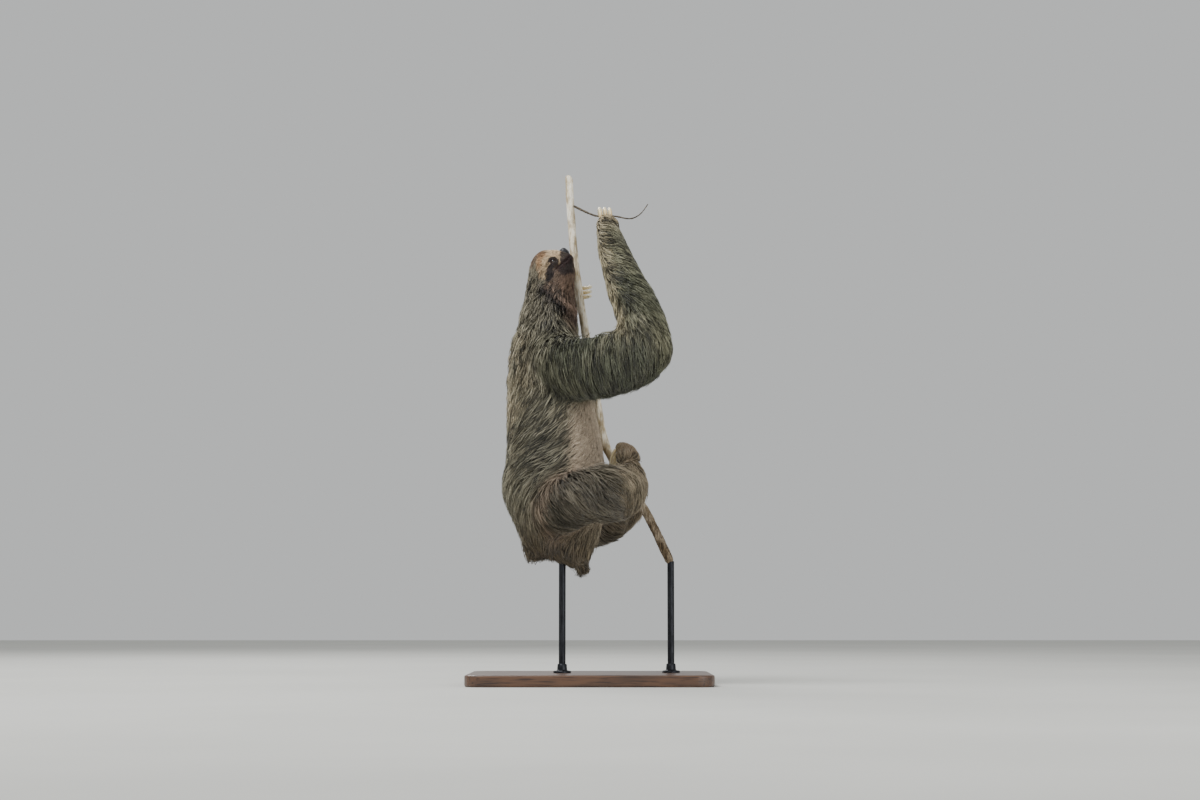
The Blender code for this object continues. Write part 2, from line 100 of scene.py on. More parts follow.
@dataclass
class Recipe:
    """A material in the making: one Principled shader and the nodes that feed it.

    The methods that add a pattern return its output, for the next one to take in.
    """

    name: str
    constants: dict[str, float]
    material: bpy.types.Material = field(init=False)
    tree: bpy.types.NodeTree = field(init=False)
    shader: bpy.types.Node = field(init=False)

    def __post_init__(self) -> None:
        """Make the material and set the shader's constant values."""
        self.material = bpy.data.materials.new(self.name)
        self.material.use_nodes = True
        self.tree = self.material.node_tree
        self.shader = self.tree.nodes["Principled BSDF"]
        for key, value in self.constants.items():
            self.shader.inputs[key].default_value = value

    def node(
        self,
        kind: str,
        settings: dict | None = None,
        values: dict | None = None,
        links: dict | None = None,
    ) -> bpy.types.Node:
        """Add a shader node.

        Args:
            kind: The node's type name, without the word that they all start with.
            settings: Properties of the node itself.
            values: Constant values of its input sockets, by name or number.
            links: Outputs that feed its inputs, by name or number.

        Returns:
            The new node.
        """
        node = self.tree.nodes.new("ShaderNode" + kind)
        for key, value in (settings or {}).items():
            setattr(node, key, value)
        for key, value in (values or {}).items():
            node.inputs[key].default_value = value
        for key, source in (links or {}).items():
            self.tree.links.new(source, node.inputs[key])
        return node

    def attribute(self, name: str, output: str = "Fac") -> bpy.types.NodeSocket:
        """Read what is stored on the mesh under a name."""
        return self.node("Attribute", {"attribute_name": name}).outputs[output]

    def coordinates(self) -> bpy.types.NodeSocket:
        """Give the object's own coordinates, in metres."""
        return self.node("TexCoord").outputs["Object"]

    def noise(
        self, size_mm: float, stretch: tuple = (1.0, 1.0, 1.0), detail: float = 3.0
    ) -> bpy.types.NodeSocket:
        """Add noise on the object's coordinates.

        Args:
            size_mm: The size of one feature.
            stretch: How much longer the features are along each axis.
            detail: Octaves of finer noise.

        Returns:
            The noise, from 0 to 1.
        """
        scale = tuple(1.0 / (size_mm * MM * part) for part in stretch)
        placed = self.node("Mapping", {}, {"Scale": scale}, {"Vector": self.coordinates()})
        values = {"Scale": 1.0, "Detail": detail, "Roughness": 0.55}
        return self.node("TexNoise", {}, values, {"Vector": placed.outputs["Vector"]}).outputs["Fac"]

    def ramp(self, value: bpy.types.NodeSocket, *stops: tuple[float, str]) -> bpy.types.NodeSocket:
        """Turn a value into colours.

        Args:
            value: The output that drives the ramp.
            stops: Pairs of position and hex colour, from low to high.

        Returns:
            The colour.
        """
        node = self.node("ValToRGB", links={"Fac": value})
        entries = node.color_ramp.elements
        while len(entries) < len(stops):
            entries.new(0.5)
        for entry, (place, code) in zip(entries, stops):
            entry.position = place
            entry.color = linear(code)
        return node.outputs["Color"]

    def multiplied(
        self, first: bpy.types.NodeSocket, second: bpy.types.NodeSocket
    ) -> bpy.types.NodeSocket:
        """Multiply two colours."""
        settings = {"data_type": "RGBA", "blend_type": "MULTIPLY"}
        return self.node("Mix", settings, {0: 1.0}, {6: first, 7: second}).outputs[2]

    def blended(
        self, share: bpy.types.NodeSocket, low: bpy.types.NodeSocket, high: bpy.types.NodeSocket
    ) -> bpy.types.NodeSocket:
        """Go from one colour, where the share is 0, to another, where it is 1."""
        return self.node("Mix", {"data_type": "RGBA"}, {}, {0: share, 6: low, 7: high}).outputs[2]

    def added(
        self, base: bpy.types.NodeSocket, extra: bpy.types.NodeSocket, weight: float
    ) -> bpy.types.NodeSocket:
        """Add a part of one value to another."""
        links = {0: extra, 2: base}
        return self.node("Math", {"operation": "MULTIPLY_ADD"}, {1: weight}, links).outputs[0]

    def ranged(self, value: bpy.types.NodeSocket, ends: dict[str, float]) -> bpy.types.NodeSocket:
        """Stretch a value from one range to another, named as on the node."""
        return self.node("MapRange", {}, ends, {"Value": value}).outputs["Result"]

    def finish(
        self,
        colour: bpy.types.NodeSocket,
        relief: bpy.types.NodeSocket | None = None,
        depth_mm: float = 0.0,
    ) -> bpy.types.Material:
        """Feed the shader its colour and its relief.

        Args:
            colour: The base colour.
            relief: The height pattern, where the surface isn't smooth.
            depth_mm: The real depth of that pattern.

        Returns:
            The finished material.
        """
        self.tree.links.new(colour, self.shader.inputs["Base Color"])
        if relief is not None:
            values = {"Strength": 1.0, "Distance": depth_mm * MM}
            bump = self.node("Bump", {}, values, {"Height": relief})
            self.tree.links.new(bump.outputs["Normal"], self.shader.inputs["Normal"])
        return self.material


# ---------------------------------------------------------------- finishes


@dataclass(frozen=True)
class GuardHair:
    """Coarse guard hair: grooved, dull strands that hold dirt and algae, so no clean highlight.

    Each lock has its own tint, which gives the streaks of a long coat, and darkens to its root as
    painted shade deep in the coat.
    """

    name: str = "guard_hair"
    grain_mm: float = 1.6  # real strands are 0.1 mm; drawn coarser so that the grain shows

    def build(self) -> bpy.types.Material:
        """Make the material of the locks, which reads the markings stored on them."""
        made = Recipe(
            self.name,
            {"Roughness": 0.68, "IOR": 1.55, "Specular IOR Level": 0.28, "Sheen Weight": 0.12},
        )
        tints = ((0.0, "#63625d"), (0.35, "#a6a49d"), (0.68, "#e6e4dc"), (1.0, "#fffefa"))
        streak = made.ramp(made.attribute("lock_tint"), *tints)
        # Locks darken toward their roots: painted shade deep in the coat.
        painted_root_shade = ((0.0, "#8c8a85"), (0.4, "#dedcd7"), (1.0, "#ffffff"))
        shade = made.ramp(made.attribute("lock_along"), *painted_root_shade)
        fleck = made.ramp(made.noise(self.grain_mm), (0.3, "#dedad2"), (0.65, "#ffffff"))
        colour = made.attribute("coat_colour", "Color")
        for layer in (streak, shade, fleck):
            colour = made.multiplied(colour, layer)
        return made.finish(colour)


@dataclass(frozen=True)
class Hide:
    """Skin under the coat: matt, darkened by painted shade of the hair, and bare and dark on lids and
    lips.
    """

    name: str = "hide_under_coat"
    nap_mm: float = 1.2

    def build(self) -> bpy.types.Material:
        """Make the skin's material, with the coat's markings darkened by painted shade, and a fine
        nap.
        """
        made = Recipe(self.name, {"Roughness": 0.8, "IOR": 1.45, "Specular IOR Level": 0.25})
        nap = made.noise(self.nap_mm, detail=4.0)
        # The coat colour is darkened here by painted shade between the hair roots, varied by the nap.
        shade = made.ramp(nap, (0.3, "#87817a"), (0.7, "#cbc6bc"))
        furred = made.multiplied(made.attribute("coat_colour", "Color"), shade)
        wrinkle = made.ramp(nap, (0.3, "#1d1919"), (0.7, "#38302f"))
        return made.finish(made.blended(made.attribute("bare_skin"), furred, wrinkle), nap, 0.4)


@dataclass(frozen=True)
class NoseLeather:
    """Bare nose: fine pebbled skin, moist, so it takes a soft highlight."""

    name: str = "nose_leather"
    pebble_mm: float = 0.7

    def build(self) -> bpy.types.Material:
        """Make the nose's material."""
        made = Recipe(
            self.name,
            {"Roughness": 0.46, "IOR": 1.42, "Coat Weight": 0.12, "Coat Roughness": 0.25},
        )
        values = {"Scale": 1.0 / (self.pebble_mm * MM)}
        cells = made.node("TexVoronoi", {}, values, {"Vector": made.coordinates()})
        pebbles = cells.outputs["Distance"]
        return made.finish(made.ramp(pebbles, (0.0, "#2f2f34"), (0.8, "#18181b")), pebbles, -0.12)


@dataclass(frozen=True)
class WetEye:
    """Eyeball under a wet cornea: a round black pupil in a dark brown iris, with a sharp glint."""

    name: str = "wet_eye"
    fibre_mm: float = 0.5

    def build(self) -> bpy.types.Material:
        """Make the eye's material, which reads the angle from the line of sight."""
        made = Recipe(
            self.name,
            {"Roughness": 0.12, "IOR": 1.38, "Coat Weight": 1.0, "Coat Roughness": 0.02},
        )
        blurred = made.added(made.attribute("eye_angle"), made.noise(self.fibre_mm), 0.06)
        pupil = ((0.0, "#020202"), (0.16, "#030202"))
        iris = ((0.2, "#3a2416"), (0.34, "#1d120c"), (0.4, "#0b0807"))
        return made.finish(made.ramp(blurred, *pupil, *iris))


@dataclass(frozen=True)
class ClawHorn:
    """Claw horn: keratin with fine ridges along it, waxy, tan at the root and cream at the tip."""

    name: str
    bed_hex: str
    root_hex: str
    tip_hex: str
    ridge_mm: float = 0.7

    def build(self) -> bpy.types.Material:
        """Make the horn's material, which reads how far along the claw a point is."""
        made = Recipe(
            self.name,
            {"Roughness": 0.38, "IOR": 1.54, "Coat Weight": 0.2, "Coat Roughness": 0.25},
        )
        ridges = made.noise(self.ridge_mm, (1.0, 1.0, 6.0))
        drift = made.added(made.attribute("claw_along"), ridges, 0.3)
        stops = ((0.1, self.bed_hex), (0.3, self.root_hex), (0.75, self.tip_hex), (1.2, self.tip_hex))
        return made.finish(made.ramp(drift, *stops), ridges, 0.15)


@dataclass(frozen=True)
class VineBark:
    """Thin liana bark: papery, pale higher up and dark grey-brown lower down."""

    name: str = "liana_bark"
    fibre_mm: float = 1.5
    dark_below: float = 0.28
    pale_above: float = 0.38

    def build(self) -> bpy.types.Material:
        """Make the bark, with long fibres, dark flecks, blotches and darker bark towards the bottom.
        """
        made = Recipe(self.name, {"Roughness": 0.82, "IOR": 1.45, "Specular IOR Level": 0.3})
        fibres = made.noise(self.fibre_mm, (1.0, 1.0, 11.0), 6.0)
        relief = made.added(fibres, made.noise(0.45, (1.0, 1.0, 7.0), 4.0), 0.45)
        split = made.node("SeparateXYZ", links={"Vector": made.coordinates()})
        # The bark is dark towards the bottom and pale higher up.
        ends = {"From Min": self.dark_below, "From Max": self.pale_above}
        height = made.ranged(split.outputs["Z"], ends)
        pale = ((0.47, "#a18a66"), (0.58, "#dccbaa"), (0.70, "#f5ead1"), (0.86, "#fffaee"))
        dark = ((0.52, "#2f2821"), (0.64, "#5f5346"), (0.74, "#8a7b68"), (0.9, "#b3a48d"))
        bark = made.blended(height, made.ramp(relief, *dark), made.ramp(relief, *pale))
        blotches = made.noise(14, (1.0, 1.0, 2.0), 5.0)
        stain = made.ramp(blotches, (0.40, "#bdb3a2"), (0.56, "#ffffff"))
        return made.finish(made.multiplied(bark, stain), relief, 0.9)


@dataclass(frozen=True)
class TwigBark:
    """Thin dark twig: smooth young bark with small pale breathing spots."""

    name: str = "twig_bark"
    grain_mm: float = 2.2

    def build(self) -> bpy.types.Material:
        """Make the twig's bark."""
        made = Recipe(self.name, {"Roughness": 0.7, "IOR": 1.45, "Specular IOR Level": 0.3})
        grain = made.noise(self.grain_mm, (3.0, 1.0, 1.0), 4.0)
        colour = made.ramp(grain, (0.3, "#2c2620"), (0.55, "#51483c"), (0.68, "#7d705c"))
        return made.finish(colour, grain, 0.3)


@dataclass(frozen=True)
class CutWood:
    """Sawn end of the vine: pale sapwood with fine pores, slightly rough from the saw."""

    name: str = "sawn_end_grain"
    pore_mm: float = 0.8

    def build(self) -> bpy.types.Material:
        """Make the end grain."""
        made = Recipe(self.name, {"Roughness": 0.75, "IOR": 1.45})
        pores = made.noise(self.pore_mm, detail=4.0)
        return made.finish(made.ramp(pores, (0.35, "#8d7450"), (0.6, "#d5bf95")), pores, 0.2)


@dataclass(frozen=True)
class StainedBoard:
    """Stained hardwood board: open grain along its length under a satin lacquer."""

    name: str = "stained_hardwood"
    band_mm: float = 22.0
    grain_mm: float = 3.0

    def build(self) -> bpy.types.Material:
        """Make the board's wood, with growth bands and darker pores."""
        made = Recipe(
            self.name,
            {"Roughness": 0.42, "IOR": 1.5, "Coat Weight": 0.35, "Coat Roughness": 0.22},
        )
        bands = made.noise(self.band_mm, (9.0, 1.0, 1.0), 2.0)
        tone = made.ramp(bands, (0.3, "#3f2a1c"), (0.5, "#5e402b"), (0.7, "#4a3121"))
        pores = made.noise(self.grain_mm, (16.0, 0.6, 1.0), 5.0)
        line = made.ramp(pores, (0.34, "#8c7b6c"), (0.5, "#ffffff"))
        return made.finish(made.multiplied(tone, line), pores, 0.15)


@dataclass(frozen=True)
class BlackSteel:
    """Blackened steel: a thin oxide over turned bar, satin with faint handling marks."""

    name: str = "blackened_steel"
    mark_mm: float = 4.0

    def build(self) -> bpy.types.Material:
        """Make the steel of the rods and collars."""
        made = Recipe(self.name, {"Metallic": 1.0})
        marks = made.noise(self.mark_mm, (1.0, 1.0, 4.0), 4.0)
        rough = made.ranged(marks, {"To Min": 0.3, "To Max": 0.46})
        made.tree.links.new(rough, made.shader.inputs["Roughness"])
        return made.finish(made.ramp(marks, (0.3, "#26272a"), (0.7, "#3d3e42")))


@dataclass(frozen=True)
class StudioPaper:
    """Matt studio paper: pale, without gloss, a little uneven."""

    name: str = "studio_paper"
    cloud_mm: float = 600.0

    def build(self) -> bpy.types.Material:
        """Make the floor's paper."""
        made = Recipe(self.name, {"Roughness": 0.95, "IOR": 1.4, "Specular IOR Level": 0.1})
        cloud = made.noise(self.cloud_mm)
        return made.finish(made.ramp(cloud, (0.3, "#c9c9c4"), (0.7, "#d0d0cb")))


# ---------------------------------------------------------------- mesh helpers


def deselect() -> None:
    """Leave nothing selected."""
    for one in bpy.context.selected_objects:
        one.select_set(False)


def only(piece: bpy.types.Object) -> None:
    """Make a piece the one selected and active object."""
    deselect()
    piece.select_set(True)
    bpy.context.view_layer.objects.active = piece


@contextmanager
def editing(piece: bpy.types.Object, action: str = "SELECT") -> Iterator[None]:
    """Open a piece for editing, with all of it selected or, on DESELECT, none of it."""
    only(piece)
    bpy.ops.object.mode_set(mode="EDIT")
    bpy.ops.mesh.select_all(action=action)
    yield
    bpy.ops.object.mode_set(mode="OBJECT")


def edit_chosen(
    piece: bpy.types.Object, kind: str, flags: np.ndarray | list, change: Callable[[], set]
) -> None:
    """Make one edit to the chosen points or faces of a piece.

    Args:
        piece: The object.
        kind: VERT for points, or FACE for faces.
        flags: Which of them are chosen.
        change: The edit.
    """
    with editing(piece, "DESELECT"):
        bpy.ops.mesh.select_mode(type=kind)
    items = piece.data.vertices if kind == "VERT" else piece.data.polygons
    items.foreach_set("select", flags)
    bpy.ops.object.mode_set(mode="EDIT")
    change()
    bpy.ops.mesh.select_all(action="DESELECT")
    bpy.ops.object.mode_set(mode="OBJECT")


def new_object(name: str, data: bpy.types.ID) -> bpy.types.Object:
    """Put new data into the scene as an object."""
    made = bpy.data.objects.new(name, data)
    bpy.context.scene.collection.objects.link(made)
    return made


def apply_step(piece: bpy.types.Object, kind: str, settings: dict) -> None:
    """Add a modifier and apply it.

    Args:
        piece: The object to change.
        kind: The modifier's type.
        settings: Its properties.
    """
    step = piece.modifiers.new("step", kind)
    for key, value in settings.items():
        setattr(step, key, value)
    only(piece)
    bpy.ops.object.modifier_apply(modifier=step.name)


def remesh(piece: bpy.types.Object, size: float) -> None:
    """Build a piece's mesh anew with even faces of about one size."""
    piece.data.remesh_voxel_size = size
    piece.data.remesh_voxel_adaptivity = 0.0
    only(piece)
    bpy.ops.object.voxel_remesh()


def shade_round(piece: bpy.types.Object) -> None:
    """Shade a piece as one rounded surface."""
    only(piece)
    bpy.ops.object.shade_smooth()


def copy_nodes(nodes: list[str], name: str) -> bpy.types.Object:
    """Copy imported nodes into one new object, with their points merged.

    Args:
        nodes: Names of the nodes.
        name: The new object's name.

    Returns:
        The joined copy.
    """
    copies = []
    for node in nodes:
        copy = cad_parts[node].copy()
        copy.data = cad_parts[node].data.copy()
        copy.data.transform(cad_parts[node].matrix_world)
        copy.parent = None
        copy.matrix_world.identity()
        copy.hide_render = False
        bpy.context.scene.collection.objects.link(copy)
        copies.append(copy)
    deselect()
    for copy in copies:
        copy.select_set(True)
    bpy.context.view_layer.objects.active = copies[0]
    if len(copies) > 1:
        bpy.ops.object.join()
    made = bpy.context.view_layer.objects.active
    made.name = name
    made.data.name = name
    for key in [key for key in made.keys() if key.startswith("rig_")]:
        del made[key]
    with editing(made):
        bpy.ops.mesh.remove_doubles(threshold=WELD)
    made.data.materials.clear()
    return made


def rows_of(items: bpy.types.bpy_prop_collection, key: str, width: int, kind: type) -> np.ndarray:
    """One property of a mesh's points, edges or faces, with a row for each."""
    flat = np.empty(len(items) * width, kind)
    items.foreach_get(key, flat)
    return flat.reshape(-1, width)


def points_of(mesh: bpy.types.Mesh) -> np.ndarray:
    """The mesh's points, one row each."""
    return rows_of(mesh.vertices, "co", 3, float)


def normals_of(mesh: bpy.types.Mesh) -> np.ndarray:
    """The mesh's point normals, one row each."""
    return rows_of(mesh.vertices, "normal", 3, float)


def edges_of(mesh: bpy.types.Mesh) -> np.ndarray:
    """The pairs of points that the mesh's edges join."""
    return rows_of(mesh.edges, "vertices", 2, int)


def move_points(mesh: bpy.types.Mesh, points: np.ndarray) -> None:
    """Put the mesh's points at new places."""
    mesh.vertices.foreach_set("co", points.ravel())
    mesh.update()


def spread_values(values: np.ndarray, edges: np.ndarray, rounds: int) -> np.ndarray:
    """Even out values over a mesh by averaging each point with its neighbours.

    Args:
        values: One row for each point.
        edges: Pairs of joined points.
        rounds: How many times to average.

    Returns:
        The smoothed rows.
    """
    made = np.asarray(values, float).reshape(len(values), -1)
    count = np.ones(len(made))
    for end in (0, 1):
        np.add.at(count, edges[:, end], 1.0)
    for _ in range(rounds):
        total = made.copy()
        np.add.at(total, edges[:, 0], made[edges[:, 1]])
        np.add.at(total, edges[:, 1], made[edges[:, 0]])
        made = total / count[:, None]
    return made.reshape(np.shape(values))


def store_floats(mesh: bpy.types.Mesh, name: str, values: np.ndarray) -> None:
    """Store one number for each point under a name that materials read."""
    mesh.attributes.new(name, "FLOAT", "POINT").data.foreach_set("value", values.ravel())


def store_colours(mesh: bpy.types.Mesh, name: str, colours: np.ndarray) -> None:
    """Store a linear colour for each point under a name that materials read."""
    full = np.ones((len(colours), 4))
    full[:, :3] = colours
    mesh.attributes.new(name, "FLOAT_COLOR", "POINT").data.foreach_set("color", full.ravel())


def unit_rows(rows: np.ndarray) -> np.ndarray:
    """Directions of length 1, along the last axis, safe where a row is next to nothing."""
    return rows / np.maximum(np.linalg.norm(rows, axis=-1), 1e-9)[..., None]


def middle_of(node: str) -> np.ndarray:
    """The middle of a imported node's box."""
    low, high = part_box(node)
    return (np.array(low) + np.array(high)) / 2


def ease(low: float, high: float, values: np.ndarray) -> np.ndarray:
    """Rise smoothly from 0 at low to 1 at high."""
    t = np.clip((values - low) / (high - low), 0.0, 1.0)
    return t * t * (3.0 - 2.0 * t)


def bell(off: np.ndarray, width: float) -> np.ndarray:
    """Fall smoothly from 1, where off is 0, to almost 0 at two widths away."""
    return np.exp(-((off / width) ** 2))


def tree_of(places: list | np.ndarray) -> KDTree:
    """A search tree that finds the nearest of some places."""
    tree = KDTree(len(places))
    for number, place in enumerate(places):
        tree.insert(Vector(place), number)
    tree.balance()
    return tree


def waves(points: np.ndarray, size: float, seed: int) -> np.ndarray:
    """Soft three-dimensional noise made of crossed waves.

    Args:
        points: Places, one row each.
        size: The size of one feature, in metres.
        seed: Which pattern of that size.

    Returns:
        A value from about -1 to 1 for each place.
    """
    rng = np.random.default_rng(seed)
    total = np.zeros(len(points))
    for _ in range(8):
        heading = rng.normal(size=3)
        heading /= np.linalg.norm(heading)
        reach = size * rng.uniform(0.7, 1.6)
        total += np.sin(points @ heading * 2 * math.pi / reach + rng.uniform(0, 2 * math.pi))
    return total / 4.0


def finish_piece(
    piece: bpy.types.Object,
    material: bpy.types.Material,
    nodes: tuple[str, ...] = (),
) -> None:
    """Dress a finished piece and join it to the frame.

    Args:
        piece: The object, at the origin with its place in its mesh.
        material: What it is made of.
        nodes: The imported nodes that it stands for.
    """
    if material.name not in piece.data.materials:
        piece.data.materials.append(material)
    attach(piece, BODY)
    if nodes:
        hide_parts(*nodes)
    log.info("%s: %d faces", piece.name, len(piece.data.polygons))


# ---------------------------------------------------------------- the head's own directions


@dataclass
class HeadPlace:
    """Where the head is and which way it faces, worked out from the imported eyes.

    Distances in the head's own terms are (along the face, up over the crown, out to the right).
    """

    eye_along: float = 0.0175
    eye_rise: float = 0.0010
    pitch: float = math.radians(55)
    centre: np.ndarray = field(init=False)
    face: np.ndarray = field(init=False)
    up: np.ndarray = field(init=False)
    right: np.ndarray = field(init=False)

    def __post_init__(self) -> None:
        """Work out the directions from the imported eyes."""
        right_eye, left_eye = middle_of("eye_right"), middle_of("eye_left")
        middle = (right_eye + left_eye) / 2
        self.right = (right_eye - left_eye) / np.linalg.norm(right_eye - left_eye)
        level = np.cross((0.0, 0.0, 1.0), self.right)
        steep = np.cross(self.right, level)
        self.face = level * math.cos(self.pitch) + steep * math.sin(self.pitch)
        self.up = np.cross(self.right, self.face)
        self.centre = middle - self.face * self.eye_along - self.up * self.eye_rise

    def local(self, points: np.ndarray) -> np.ndarray:
        """Places in the head's own terms, one row each."""
        return (points - self.centre) @ self.axes.T

    @property
    def axes(self) -> np.ndarray:
        """The head's three directions, one row each."""
        return np.stack([self.face, self.up, self.right])

    def world(self, local: np.ndarray) -> np.ndarray:
        """World places of points given in the head's own terms."""
        return self.centre + local @ self.axes


# ---------------------------------------------------------------- the lie of the coat


@dataclass(frozen=True)
class Lie:
    """How the coat lies on one part of the body.

    Depth is from the skin out to the tips, and flow is the way the hair points. Droop is how
    far, as a share of its length, a lock sags away from an underside.
    """

    depth_mm: float
    length_mm: float
    width_mm: float
    flow: tuple[float, float, float]
    shade: str
    droop: float = 0.1
    cover: float = 6.5

    def mirrored(self, flow: tuple[float, float, float] | None = None) -> Lie:
        """The same coat on the other side of the body.

        Args:
            flow: Another way for the hair to point, where the two sides aren't posed alike.
        """
        return replace(self, flow=flow or (self.flow[0], -self.flow[1], self.flow[2]))


UPPER_ARM = Lie(14, 46, 1.4, (0.15, -0.1, -1.0), "#90937f", 0.22)
FOREARM = Lie(11, 34, 1.3, (0.5, -0.15, -0.8), "#a9aa93", 0.12)
HAND = Lie(2.6, 13, 1.1, (0.25, -0.1, -0.9), "#cbbfa8", 0.0, 6.0)
THIGH = Lie(15, 42, 1.5, (0.5, -0.3, -0.6), "#766f64", 0.12)
SHANK = Lie(11, 36, 1.45, (0.9, 0.25, -0.3), "#b1a490", 0.15)
FOOT = Lie(3.4, 10, 0.95, (-0.05, 0.35, 0.9), "#d3bda4", 0.0, 5.0)

COAT_LIES = {
    "head": Lie(5, 17, 1.2, (0.0, 0.0, -1.0), "#a7a193", 0.05, 5.0),
    "neck": Lie(12, 36, 1.4, (-0.1, 0.0, -1.0), "#aca799", 0.1),
    "trunk": Lie(16, 46, 1.5, (-0.4, 0.0, -0.9), "#adaa9a", 0.15),
    "tail": Lie(9, 30, 1.4, (0.05, 0.0, -1.0), "#a09586", 0.25),
    "upper_arm_right": UPPER_ARM,
    "upper_arm_left": UPPER_ARM.mirrored(),
    "forearm_right": FOREARM,
    "forearm_left": FOREARM.mirrored((-0.2, 0.7, -0.65)),
    "hand_right": HAND,
    "hand_left": HAND.mirrored((-0.25, 0.6, -0.65)),
    "thigh_right": THIGH,
    "thigh_left": THIGH.mirrored(),
    "shank_right": SHANK,
    "shank_left": SHANK.mirrored((0.9, -0.35, -0.2)),
    "foot_right": FOOT,
    "foot_left": FOOT.mirrored((0.2, -0.3, 0.9)),
}

COAT_REGIONS = {
    "head": ("head",),
    "neck": ("neck",),
    "trunk": ("trunk", "tail"),
    "arm_right": ("upper_arm_right", "forearm_right", "hand_right"),
    "arm_left": ("upper_arm_left", "forearm_left", "hand_left"),
    "leg_right": ("thigh_right", "shank_right", "foot_right"),
    "leg_left": ("thigh_left", "shank_left", "foot_left"),
}


def segment_gap(points: np.ndarray, start: tuple, end: tuple) -> np.ndarray:
    """Distance from each place to a straight line between two others."""
    first = np.array(start)
    span = np.array(end) - first
    t = np.clip((points - first) @ span / (span @ span), 0.0, 1.0)
    return np.linalg.norm(points - first - t[:, None] * span, axis=1)


def toward(colours: np.ndarray, code: str, share: np.ndarray) -> np.ndarray:
    """Move colours toward one hex colour by a share for each place."""
    return colours + (np.array(linear(code)[:3]) - colours) * np.clip(share, 0, 1)[:, None]


@dataclass(frozen=True)
class FacePlan:
    """Where the features of the face are, in the head's own terms, in metres."""

    eye: tuple[float, float, float] = (0.0180, 0.0012, 0.0372)
    eye_radius: float = 0.0052
    look: tuple[float, float, float] = (0.42, 0.06, 0.90)
    lid_half_width: float = 0.0044
    lid_half_height: float = 0.0033
    nose: tuple[float, float, float] = (0.0450, 0.0046, 0.0)
    mask_end: tuple[float, float, float] = (-0.0132, -0.0155, 0.044)

    def mirrored_local(self, local: np.ndarray) -> np.ndarray:
        """Head places with both sides folded onto the right."""
        return np.stack([local[:, 0], local[:, 1], np.abs(local[:, 2])], 1)

    def eye_gap(self, folded: np.ndarray) -> np.ndarray:
        """Distance of each place from the middle of the eye."""
        return np.linalg.norm(folded - np.array(self.eye), axis=1)

    def lid_reach(self, folded: np.ndarray) -> tuple[np.ndarray, np.ndarray]:
        """How far out of the lid opening each place is, and how high along the line of sight.

        Args:
            folded: Head places folded onto the right side.

        Returns:
            The reach, which is 1 on the lid's edge, and the height over the eye's centre.
        """
        axis = np.array(self.look) / np.linalg.norm(self.look)
        offset = folded - np.array(self.eye)
        height = offset @ axis
        across = np.array([1.0, 0.0, 0.0]) - axis * axis[0]
        across /= np.linalg.norm(across)
        tall = np.cross(axis, across)
        reach = np.hypot(
            offset @ across / self.lid_half_width, offset @ tall / self.lid_half_height
        )
        return np.where(height < -0.012, 9.0, reach), height

    def mouth_gap(self, folded: np.ndarray) -> np.ndarray:
        """Distance of each place above the line of the mouth, large where there is no mouth."""
        line = np.interp(
            folded[:, 2], [0.0, 0.012, 0.024, 0.040], [-0.0085, -0.0105, -0.0115, -0.0095]
        )
        gap = folded[:, 1] - line
        return np.where((folded[:, 0] > 0.010) & (folded[:, 2] < 0.042), gap, 1.0)


FACE = FacePlan()


@dataclass
class CoatFields:
    """What the coat is like at each point of the skin."""

    depth: np.ndarray
    length: np.ndarray
    width: np.ndarray
    flow: np.ndarray
    colour: np.ndarray
    droop: np.ndarray
    cover: np.ndarray
    # Even: how far each lock's tint is drawn to one pale level, for a smoother coat and partly as
    # painted light.
    even: np.ndarray
    label: np.ndarray


